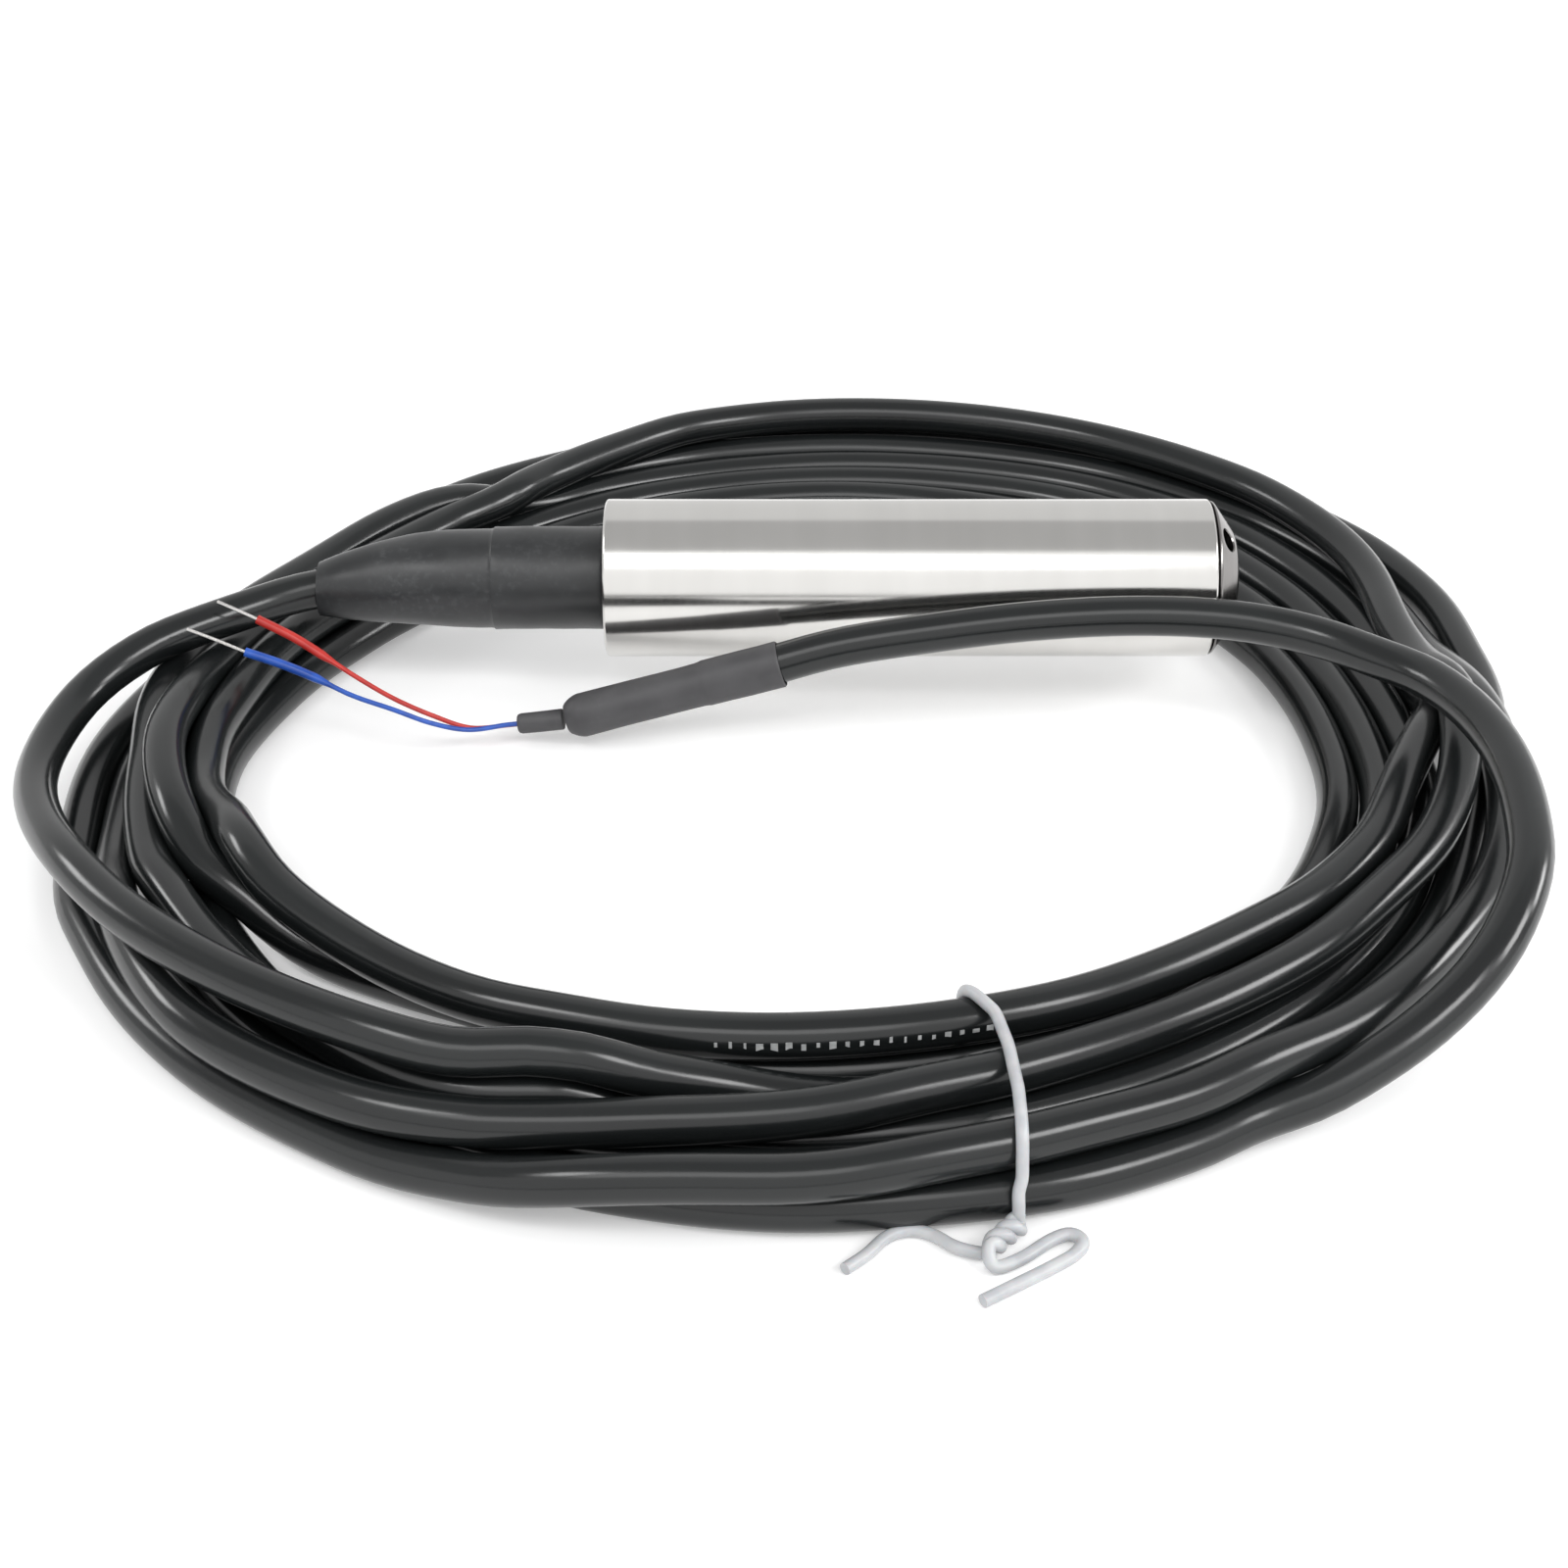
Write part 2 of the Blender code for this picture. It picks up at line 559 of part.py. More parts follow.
def make_sensor_leads():
    """Makes the thin leads from the header's pins through the front holder to the board."""
    low = PART_BASE + SENSOR_LEAD_D / 2
    reach = LEAD_REACH * (AMPLIFIER_SHARE * BOARD_RUN - AMPLIFIER_SIZE[0] / 2)
    for index, (y, z) in enumerate(pin_places()):
        side = 1 if y > 0 else -1
        middle_y, end_y = UPPER_LEAD_SPREAD if z > 0 else LOWER_LEAD_SPREAD
        rise = WINDOW_HEIGHT + (UPPER_LEAD_RISE if z > 0 else LOWER_LEAD_RISE)
        points = [(PIN_END - FIT, y, z), (PIN_END - 1.6, y, z),
                  (FRONT_HOLDER_X + 1.2, side * middle_y, rise), (BOARD_START, side * middle_y, rise),
                  (BOARD_START - reach * 0.6, side * end_y, low + 1.6),
                  (BOARD_START - reach, side * end_y, low)]
        tube("sensor_lead_%d" % (index + 1), smooth_route(points, 2.2), SENSOR_LEAD_D,
             (WIRE_RED, WIRE_BLUE, VENT_CLEAR, CHIP_BLACK)[index], 1)


def make_board():
    """Makes the liner, the two holders and the circuit board between them."""
    turned("insulating_liner", washer_profile(LINER_FRONT, LINER_REAR, SEAT_R, LINER_R), LINER_FILM)
    slot_size = (HOLDER_THICKNESS * 3, BOARD_WIDTH + 2 * FIT, BOARD_THICKNESS + 2 * FIT)
    for name, front in (("board_holder_front", FRONT_HOLDER_X), ("board_holder_rear", REAR_HOLDER_X)):
        rear = front - HOLDER_THICKNESS
        middle = (front + rear) / 2
        holder = turned(name, [(front, 0.0), (front, HOLDER_R), (rear, HOLDER_R), (rear, 0.0)],
                        NYLON, closed=False)
        slot = box(name + "_slot", (middle, 0.0, BOARD_HEIGHT), slot_size, None, 0.0, CUTTERS)
        window = cylinder(name + "_window", (middle, 0.0, WINDOW_HEIGHT), WINDOW_R,
                          HOLDER_THICKNESS * 3, (1.0, 0.0, 0.0), None, SMALL, CUTTERS)
        combine(holder, slot, "DIFFERENCE")
        combine(holder, window, "DIFFERENCE")
    board_front = FRONT_HOLDER_X - FIT
    board_rear = REAR_HOLDER_X - HOLDER_THICKNESS + FIT
    box("circuit_board", ((board_front + board_rear) / 2, 0.0, BOARD_HEIGHT),
        (board_front - board_rear, BOARD_WIDTH, BOARD_THICKNESS), BOARD_GREEN)


def on_board(name, x, y, size, material, bevel=0.25):
    """Makes a box-shaped component that stands on the board."""
    return box(name, (x, y, PART_BASE + size[2] / 2), size, material, bevel)


def make_components():
    """Makes the board's components, from the amplifier to the terminals."""
    amplifier_x, driver_x, trimmer_x, arrester_x = (
        BOARD_START - BOARD_RUN * share
        for share in (AMPLIFIER_SHARE, DRIVER_SHARE, TRIMMER_SHARE, ARRESTER_SHARE))
    on_board("amplifier_chip", amplifier_x, 0.0, AMPLIFIER_SIZE, CHIP_BLACK)
    on_board("loop_driver_chip", driver_x, DRIVER_Y, DRIVER_SIZE, CHIP_BLACK)
    cylinder("filter_capacitor", (driver_x, CAPACITOR_Y, PART_BASE + CAPACITOR_HEIGHT / 2),
             CAPACITOR_D / 2, CAPACITOR_HEIGHT, (0.0, 0.0, 1.0), TINNED)
    for name, y in (("zero_trimmer", -TRIMMER_Y), ("span_trimmer", TRIMMER_Y)):
        top = PART_BASE + TRIMMER_SIZE[2]
        on_board(name, trimmer_x, y, TRIMMER_SIZE, TRIMMER_BLUE)
        cylinder(name + "_screw", (trimmer_x, y, top + FIT + TRIMMER_SCREW_HEIGHT / 2),
                 TRIMMER_SCREW_D / 2, TRIMMER_SCREW_HEIGHT, (0.0, 0.0, 1.0), BRASS)
    cylinder("surge_arrester", (arrester_x, 0.0, PART_BASE + ARRESTER_D / 2),
             ARRESTER_D / 2, ARRESTER_LENGTH, (0.0, 1.0, 0.0), CERAMIC)
    make_terminal()


def terminal_rear():
    """Returns the terminal block's face that the cores enter."""
    return REAR_HOLDER_X - FIT + TERMINAL_OVERHANG - FIT


def make_terminal():
    """Makes the two-way terminal block with its clamp screws."""
    length, _, height = TERMINAL_SIZE
    rear = terminal_rear()
    block = on_board("terminal_block", rear + length / 2, 0.0, TERMINAL_SIZE, TERMINAL_GREEN, 0.0)
    top = PART_BASE + height
    recess = TERMINAL_SCREW_HEIGHT + FIT
    for index, side in enumerate((-1, 1)):
        y = side * TERMINAL_PITCH / 2
        entry = cylinder("core_entry_%d" % index, (rear, y, PART_BASE + height * 0.4),
                         TERMINAL_ENTRY_D / 2, TERMINAL_ENTRY_DEPTH * 2, (1.0, 0.0, 0.0), None, SMALL, CUTTERS)
        well = cylinder("screw_well_%d" % index, (rear + length / 2, y, top), TERMINAL_SCREW_D / 2 + FIT,
                        recess * 2, (0.0, 0.0, 1.0), None, SMALL, CUTTERS)
        combine(block, entry, "DIFFERENCE")
        combine(block, well, "DIFFERENCE")
        cylinder("terminal_screw_%d" % (index + 1),
                 (rear + length / 2, y, top - recess + FIT + TERMINAL_SCREW_HEIGHT / 2),
                 TERMINAL_SCREW_D / 2, TERMINAL_SCREW_HEIGHT, (0.0, 0.0, 1.0), TINNED)


def make_rear_cap():
    """Makes the rear cap with its seal groove and the tail that holds the gland."""
    groove_half = CAP_SEAL_SECTION / 2 + FIT
    groove_r = SEAT_R - CAP_SEAL_GROOVE_DEPTH
    tail_r = CAP_TAIL_D / 2
    turned("rear_cap", [
        (CAP_FRONT, CABLE_BORE_R), (CAP_FRONT, SEAT_R), (CAP_SEAL_X + groove_half, SEAT_R),
        (CAP_SEAL_X + groove_half, groove_r), (CAP_SEAL_X - groove_half, groove_r),
        (CAP_SEAL_X - groove_half, SEAT_R), (TUBE_REAR, SEAT_R), (TUBE_REAR, tail_r),
        (CAP_TAIL_END, tail_r), (CAP_TAIL_END, CAP_COUNTERBORE_D / 2),
        (COUNTERBORE_FLOOR, CAP_COUNTERBORE_D / 2), (COUNTERBORE_FLOOR, CABLE_BORE_R)], INNER_STEEL)
    seal_r = (groove_r + FIT) + CAP_SEAL_SECTION / 2
    turned("rear_o_ring", torus_profile(CAP_SEAL_X, seal_r, CAP_SEAL_SECTION), SEAL_RUBBER, COARSE)


def make_gland():
    """Makes the seal bush, its washer and the hexagon nut that squeezes them on the cable."""
    turned("seal_bush", washer_profile(BUSH_FRONT, BUSH_FRONT - BUSH_LENGTH, GLAND_R, CABLE_BORE_R),
           SEAL_RUBBER, COARSE)
    turned("clamp_washer", washer_profile(
        WASHER_FRONT, WASHER_FRONT - WASHER_THICKNESS, GLAND_R, CABLE_BORE_R), BRASS, COARSE)
    hex_r = NUT_HEX_FLATS / 2 / math.cos(math.pi / 6)
    nut = cylinder("gland_nut", ((HEX_FRONT + HEX_REAR) / 2, 0.0, 0.0), hex_r, NUT_HEX_THICKNESS,
                   (1.0, 0.0, 0.0), INNER_STEEL, 6)
    thread_rear = (HEX_FRONT + HEX_REAR) / 2
    thread = cylinder("gland_nut_thread", ((NUT_FRONT + thread_rear) / 2, 0.0, 0.0), GLAND_R,
                      NUT_FRONT - thread_rear, (1.0, 0.0, 0.0), None, MEDIUM, CUTTERS)
    bore = cylinder("gland_nut_bore", (HEX_FRONT, 0.0, 0.0), CABLE_BORE_R,
                    (NUT_FRONT - HEX_REAR) * 3, (1.0, 0.0, 0.0), None, MEDIUM, CUTTERS)
    combine(nut, thread, "UNION")
    combine(nut, bore, "DIFFERENCE")


def sleeve_outline():
    """Returns the sleeve's outside, from the housing to its mouth on the cable."""
    full = SLEEVE_D / 2
    mouth = SLEEVE_MOUTH_D / 2
    step_x = SLEEVE_FRONT - SLEEVE_STEP
    taper_x = step_x - SLEEVE_STEP_RUN
    taper_r = full - SLEEVE_STEP_DEPTH
    points = [(SLEEVE_FRONT, full - 0.3), (SLEEVE_FRONT - 0.5, full), (step_x, full), (taper_x, taper_r)]
    rows = 8
    for index in range(1, rows + 1):
        share = index / rows
        points.append((taper_x + (SLEEVE_REAR - taper_x) * share,
                       mouth + (taper_r - mouth) * (1 - share ** SLEEVE_FLARE)))
    return points


def make_sleeve():
    """Makes the shrunk sleeve over the gland, drawn down onto the cable."""
    gland_bore = CAP_TAIL_D / 2 + FIT
    inside = [(x, CABLE_BORE_R) for x in reversed(neck_rows())]
    inside += [(SLEEVE_NECK, gland_bore), (SLEEVE_FRONT, gland_bore)]
    bend_down(turned("rear_sleeve", sleeve_outline() + inside, SLEEVE_BLACK, MEDIUM))


def make_cable_end():
    """Makes the cable's end inside the sleeve and the cap, with its cores and vent tube."""
    front = CAP_FRONT - JACKET_SETBACK
    neck = neck_rows()
    inner = CABLE_R - JACKET_WALL
    profile = [(front, CABLE_R)] + [(x, CABLE_R) for x in neck]
    profile += [(x, inner) for x in reversed(neck)] + [(front, inner)]
    bend_down(turned("cable_jacket_end", profile, CABLE_BLACK, COARSE))
    inside = front - CORE_LENGTH_INSIDE
    holder_rear = REAR_HOLDER_X - HOLDER_THICKNESS
    entry_z = PART_BASE + TERMINAL_SIZE[2] * 0.4
    terminal_inside = terminal_rear() + TERMINAL_ENTRY_DEPTH - FIT
    for name, side, material in (("red_core", 1, WIRE_RED), ("blue_core", -1, WIRE_BLUE)):
        y = side * TERMINAL_PITCH / 2
        across, low = CORE_PLACE
        route = [(inside, side * across, low), (front, side * across, low),
                 (front + 1.2, side * (across + 0.25), 0.0),
                 (holder_rear - 0.3, side * 2.0, entry_z - 0.5),
                 (REAR_HOLDER_X - 0.5, y, entry_z), (terminal_inside, y, entry_z)]
        tube(name, smooth_route(route, 3.5), CORE_D, material)
    above = PART_BASE + TERMINAL_SIZE[2] + VENT_TUBE_D / 2 + FIT
    tube("vent_tube", smooth_route([
        (inside, *VENT_TUBE_PLACE), (front, *VENT_TUBE_PLACE), (front + 1.2, 0.0, 2.3), (holder_rear, 0.0, WINDOW_HEIGHT + VENT_TUBE_CLEARANCE),
        (REAR_HOLDER_X, 0.0, above), (terminal_rear() + 4.0, 0.0, above)], 3.5), VENT_TUBE_D, VENT_CLEAR)


def around(table, angle):
    """Reads a table of values every 30 degrees as a smooth closed curve."""
    place = (angle % 360) / 360 * len(table)
    index = int(place)
    t = place - index
    p0, p1, p2, p3 = (table[(index + shift) % len(table)] for shift in (-1, 0, 1, 2))
    return 0.5 * (2 * p1 + (p2 - p0) * t + (2 * p0 - 5 * p1 + 4 * p2 - p3) * t ** 2
                  + (3 * p1 - p0 - 3 * p2 + p3) * t ** 3)


def coil_section(angle, grow=0.0, count=COIL_SECTION_POINTS, lift=0.0):
    """Returns points round the bundle's outside at an angle, grown outwards by a clearance."""
    inner = around(COIL_INNER, angle)
    outer = around(COIL_OUTER, angle)
    half_width = (outer - inner) / 2 + grow
    half_height = (COIL_HEIGHT - lift) / 2 + grow
    middle_z = COIL_FLOOR + lift + (COIL_HEIGHT - lift) / 2
    power = 2 / COIL_SQUARENESS
    flat = math.cos(math.pi / count) ** power
    turn = math.radians(angle)
    points = []
    for index in range(count):
        a = 2 * math.pi * (index + 0.5) / count
        across = math.copysign(abs(math.cos(a)) ** power, math.cos(a))
        up = math.copysign(min(1.0, abs(math.sin(a)) ** power / flat), math.sin(a))
        radius = (inner + outer) / 2 + half_width * across
        points.append((COIL_CENTRE[0] + radius * math.cos(turn), COIL_CENTRE[1] + radius * math.sin(turn),
                       middle_z + half_height * up))
    return points


def make_coil():
    """Makes the outer shape of the coiled cable, lofted round its centre."""
    def build(work):
        rings = []
        for station in range(COIL_STATIONS):
            angle = 360 * station / COIL_STATIONS
            near = abs(angle - TIE_ANGLE) <= TIE_NOTCH_ANGLE
            section = coil_section(angle, lift=TIE_NOTCH if near else 0.0)
            rings.append([work.verts.new(Vector(point) * MM) for point in section])
        for first, second in zip(rings, rings[1:] + rings[:1]):
            for index in range(COIL_SECTION_POINTS):
                after = (index + 1) % COIL_SECTION_POINTS
                work.faces.new((first[index], second[index], second[after], first[after]))
        bmesh.ops.recalc_face_normals(work, faces=work.faces)

    coil = add_object("cable_coil", mesh_from("cable_coil", build), CABLE_BLACK)
    coil.data.shade_smooth()


def sleeve_mouth():
    """Returns the centre of the sleeve's mouth and the cable's direction out of it."""
    centre = Vector((SLEEVE_REAR, 0.0, 0.0)) + bend_offset(SLEEVE_REAR)
    return centre, (Vector((-1.0, 0.0, 0.0)) + bend_slope()).normalized()


def make_loose_cable():
    """Makes the cable's two stretches that leave the coil."""
    mouth, outwards = sleeve_mouth()
    clear = FIT + CABLE_R * bend_slope().length
    start = [mouth + outwards * clear, mouth + outwards * (clear + 4.0)]
    tube("cable_lead_in", smooth_route(start + LEAD_IN_ROUTE, ROUTE_SPACING), CABLE_D, CABLE_BLACK, 3)
    boot = Vector(BOOT_RIGHT_END)
    along = Vector(BOOT_DIRECTION).normalized()
    inside = boot + along * (BOOT_LENGTH - BOOT_END_WALL - FIT)
    straight = [inside, boot + along * 12.0, boot]
    tube("cable_lead_out", smooth_route(straight + LEAD_OUT_ROUTE, ROUTE_SPACING), CABLE_D, CABLE_BLACK, 3)


def place_along(obj, start, direction):
    """Lays an object turned round the X axis so that X = 0 is at start and -X runs along direction."""
    turn = Vector(direction).to_track_quat("-Z", "Y")
    obj.rotation_mode = "QUATERNION"
    obj.rotation_quaternion = turn
    obj.location = Vector(start) * MM


def make_boot():
    """Makes the shrunk boot over the cable's far end and the narrow collar round the cores."""
    radius = BOOT_D / 2
    tip_r = BOOT_TIP_D / 2
    slim = radius - BOOT_OVERLAP_DEPTH
    tip_start = -(BOOT_LENGTH - BOOT_TAPER)
    bore_end = -(BOOT_LENGTH - BOOT_END_WALL)
    profile = [(bore_end, 0.0), (bore_end, CABLE_BORE_R), (0.0, CABLE_BORE_R), (0.0, radius - 0.3),
               (-0.4, radius), (-BOOT_OVERLAP[0], radius), (-BOOT_OVERLAP[1], slim), (tip_start, slim),
               (tip_start - BOOT_TAPER / 2, slim * 0.6 + tip_r * 0.4), (-BOOT_LENGTH, tip_r),
               (-BOOT_LENGTH, 0.0)]
    boot = turned("end_boot", profile, BOOT_GREY, COARSE, closed=False)
    place_along(boot, BOOT_RIGHT_END, BOOT_DIRECTION)
    along = Vector(BOOT_DIRECTION).normalized()
    onwards = Vector(COLLAR_DIRECTION).normalized()
    start = Vector(BOOT_RIGHT_END) + along * BOOT_LENGTH
    start += onwards * (FIT + tip_r * along.angle(onwards))
    collar_r = COLLAR_D / 2
    collar = turned("end_collar", [
        (0.0, 0.0), (0.0, collar_r), (-COLLAR_LENGTH + 0.5, collar_r), (-COLLAR_LENGTH, collar_r - 0.4),
        (-COLLAR_LENGTH, 0.0)], BOOT_GREY, SMALL, closed=False)
    place_along(collar, start, COLLAR_DIRECTION)
    return start + onwards * (COLLAR_LENGTH + FIT)


def make_wires(start):
    """Makes the two cores that leave the collar, each with its bare tinned end."""
    along = Vector(COLLAR_DIRECTION).normalized()
    apart = Vector((0.0, 0.846, -0.533)) * (CORE_D / 2 + FIT / 2)
    for name, side, route, tip_route, material in (
            ("red_wire", 1, RED_ROUTE, RED_TIP_ROUTE, WIRE_RED),
            ("blue_wire", -1, BLUE_ROUTE, BLUE_TIP_ROUTE, WIRE_BLUE)):
        first = start + apart * side
        tube(name, smooth_route([first, first + along * 2.0] + route, 4.0), CORE_D, material)
        end = Vector(route[-1])
        onwards = (Vector(tip_route[0]) - end).normalized()
        tube(name + "_tip", smooth_route([end + onwards * FIT] + tip_route, 3.0), TIP_D, TINNED)


def make_tie():
    """Makes the plastic-coated tie: a loop round the bundle, a twisted knot and two tails."""
    count = TIE_LOOP_POINTS
    loop = coil_section(TIE_ANGLE, FIT + TIE_D / 2, count, TIE_NOTCH)
    gap_at = round(count * (1 - TIE_LOOP_OPENING))
    loop = [Vector(loop[(gap_at - index) % count]) for index in range(count - 1)]
    outwards = Vector((math.cos(math.radians(TIE_ANGLE)), math.sin(math.radians(TIE_ANGLE)), 0.0))
    knot_start = (loop[0] + loop[-1]) / 2 + outwards * TIE_D
    knot_start.z = COIL_FLOOR + TIE_D + FIT
    coil_r = TIE_D / 2 + FIT / 2
    along = Vector(TIE_KNOT_DIRECTION).normalized()
    sideways = Vector((-along.y, along.x, 0.0))

    def strand(phase):
        points = []
        for index in range(TIE_TWIST_STEPS + 1):
            share = index / TIE_TWIST_STEPS
            turn = 2 * math.pi * TIE_TWISTS * share + phase
            centre = knot_start + along * TIE_KNOT_LENGTH * share
            points.append(centre + sideways * coil_r * math.cos(turn) + Vector((0, 0, coil_r * math.sin(turn))))
        return points

    upper = math.pi / 2
    first = strand(upper)
    second = strand(upper + math.pi)
    path = list(reversed(TIE_LONG_TAIL)) + list(reversed(second)) + loop + first + TIE_SHORT_TAIL
    tube("cable_tie", smooth_route(path, 2.8), TIE_D, TIE_WHITE, 1)


make_housing()
make_nose()
make_cell()
make_sensor_leads()
make_board()
make_components()
make_rear_cap()
make_gland()
make_sleeve()
make_cable_end()
make_coil()
make_loose_cable()
make_wires(make_boot())
make_tie()
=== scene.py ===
"""A submersible level transmitter on a pale floor: probe, coiled cable, bare-ended cores and tie."""

import logging
import math
from dataclasses import dataclass
from enum import Enum
from typing import Callable, Sequence

import bmesh
import bpy
import numpy as np
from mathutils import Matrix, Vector

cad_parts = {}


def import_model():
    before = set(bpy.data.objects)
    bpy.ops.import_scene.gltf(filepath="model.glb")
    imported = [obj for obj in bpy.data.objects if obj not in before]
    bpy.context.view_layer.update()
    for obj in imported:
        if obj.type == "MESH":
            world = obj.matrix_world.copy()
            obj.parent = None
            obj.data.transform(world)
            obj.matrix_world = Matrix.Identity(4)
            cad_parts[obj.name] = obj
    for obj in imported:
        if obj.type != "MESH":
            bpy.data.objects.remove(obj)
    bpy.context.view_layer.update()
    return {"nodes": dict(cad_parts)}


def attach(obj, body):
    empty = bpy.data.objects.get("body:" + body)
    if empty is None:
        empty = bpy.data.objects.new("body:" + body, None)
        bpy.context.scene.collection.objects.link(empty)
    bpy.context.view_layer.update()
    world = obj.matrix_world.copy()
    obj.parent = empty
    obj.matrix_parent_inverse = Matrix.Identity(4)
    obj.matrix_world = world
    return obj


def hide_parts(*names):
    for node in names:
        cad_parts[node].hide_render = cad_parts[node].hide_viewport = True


Triple = tuple[float, float, float]
Route = tuple[Triple, ...]
Profile = Sequence[tuple[float, float]]

LOG = logging.getLogger("level_transmitter")
MM = 0.001
ROOT = "root"
FLOOR_Z = -22.4
FLOAT = "NodeSocketFloat"


class Slot(Enum):
    """The record's material slots."""

    HOUSING = "housing_steel"
    NOSE = "nose_steel"
    INNER = "inner_steel"
    RUBBER = "seal_rubber"
    CERAMIC = "ceramic"
    BRASS = "brass"
    RED = "red_insulation"
    BLUE = "blue_insulation"
    VENT = "vent_clear"
    CHIP = "chip_black"
    LINER = "liner_film"
    NYLON = "nylon"
    BOARD = "board_green"
    TRIMMER = "trimmer_blue"
    TERMINAL = "terminal_green"
    TINNED = "tinned_metal"
    SLEEVE = "sleeve_black"
    CABLE = "cable_black"
    BOOT = "boot_grey"
    TIE = "tie_white"


class Coordinates(Enum):
    """What a finish's pattern follows."""

    OBJECT = "Object"
    ALONG = "UV"


# ---------------------------------------------------------------- node trees


class Tree:
    """A node tree with short calls that add and join its nodes."""

    def __init__(self, tree: bpy.types.NodeTree) -> None:
        """Keeps the shader or geometry tree to fill."""
        self.tree = tree
        self.source: bpy.types.NodeOutputs | None = None
        self.target: bpy.types.Node | None = None

    @classmethod
    def empty(cls, owner: bpy.types.Material | bpy.types.World) -> "Tree":
        """Returns the tree of a material or a world, with no nodes in it."""
        owner.use_nodes = True
        owner.node_tree.nodes.clear()
        return cls(owner.node_tree)

    @classmethod
    def group(cls, name: str, kind: str, inputs: dict[str, tuple[str, object]],
              outputs: dict[str, str]) -> "Tree":
        """Starts a node group.

        Args:
            name: the group's name.
            kind: the type of node tree.
            inputs: socket kind and default value by input name.
            outputs: socket kind by output name.

        Returns:
            The group's tree, with its input and output nodes in place.
        """
        made = cls(bpy.data.node_groups.new(name, kind))
        for title, (socket_kind, value) in inputs.items():
            socket = made.tree.interface.new_socket(title, in_out="INPUT", socket_type=socket_kind)
            if value is not None:
                socket.default_value = value
        for title, socket_kind in outputs.items():
            made.tree.interface.new_socket(title, in_out="OUTPUT", socket_type=socket_kind)
        made.source = made.add("NodeGroupInput").outputs
        made.target = made.add("NodeGroupOutput")
        return made

    def feed(self, node: bpy.types.Node, values: dict[str | int, object]) -> None:
        """Fills a node's inputs.

        Args:
            node: the node.
            values: a socket to link or a value to set, by the input's name or number.
        """
        for key, value in values.items():
            if isinstance(value, bpy.types.NodeSocket):
                self.tree.links.new(value, node.inputs[key])
            else:
                node.inputs[key].default_value = value

    def add(self, kind: str, inputs: dict[str | int, object] | None = None,
            **settings: object) -> bpy.types.Node:
        """Adds a node.

        Args:
            kind: the node's type name.
            inputs: what its inputs read, as in feed.
            settings: attributes to set on it.

        Returns:
            The new node.
        """
        node = self.tree.nodes.new(kind)
        for key, value in settings.items():
            setattr(node, key, value)
        self.feed(node, inputs or {})
        return node

    def math(self, operation: str, *values: object) -> bpy.types.NodeSocket:
        """Adds a Math node for sockets or numbers, in order, and returns its result."""
        return self.add("ShaderNodeMath", dict(enumerate(values)), operation=operation).outputs[0]

    def noise(self, vector: bpy.types.NodeSocket, scale: object, detail: float,
              roughness: float) -> bpy.types.NodeSocket:
        """Adds a Noise texture.

        Args:
            vector: the coordinates it reads.
            scale: its scale, a number or a socket.
            detail: its octaves.
            roughness: how strong the fine octaves are.

        Returns:
            The noise value, about 0.5 on average.
        """
        return self.add("ShaderNodeTexNoise", {"Vector": vector, "Scale": scale, "Detail": detail,
                                               "Roughness": roughness},
                        noise_dimensions="3D").outputs["Fac"]

    def spread(self, value: bpy.types.NodeSocket, low: float, high: float, to_low: float = 0.0,
               to_high: float = 1.0) -> bpy.types.NodeSocket:
        """Adds a clamped Map Range node.

        Args:
            value: the value that it reads.
            low: the value that becomes to_low.
            high: the value that becomes to_high.
            to_low: the result's lower end.
            to_high: its upper end.

        Returns:
            The node's result.
        """
        node = self.add("ShaderNodeMapRange", {"Value": value, "From Min": low, "From Max": high,
                                               "To Min": to_low, "To Max": to_high}, clamp=True)
        return node.outputs["Result"]

    def blend(self, mask: bpy.types.NodeSocket, first: object, second: object) -> bpy.types.NodeSocket:
        """Mixes two colours by a mask.

        Args:
            mask: how much of the second colour shows.
            first: a colour, as a socket or three numbers.
            second: another.

        Returns:
            The mixed colour.
        """
        sides = {index: (*side, 1.0) if isinstance(side, tuple) else side
                 for index, side in ((6, first), (7, second))}
        return self.add("ShaderNodeMix", {"Factor": mask, **sides}, data_type="RGBA").outputs[2]

    def bump(self, height: bpy.types.NodeSocket, strength: float, distance: float) -> bpy.types.NodeSocket:
        """Adds a Bump node for a height, with its distance in millimetres, and returns the normal."""
        return self.add("ShaderNodeBump", {"Strength": strength, "Distance": distance * MM,
                                           "Height": height}).outputs["Normal"]


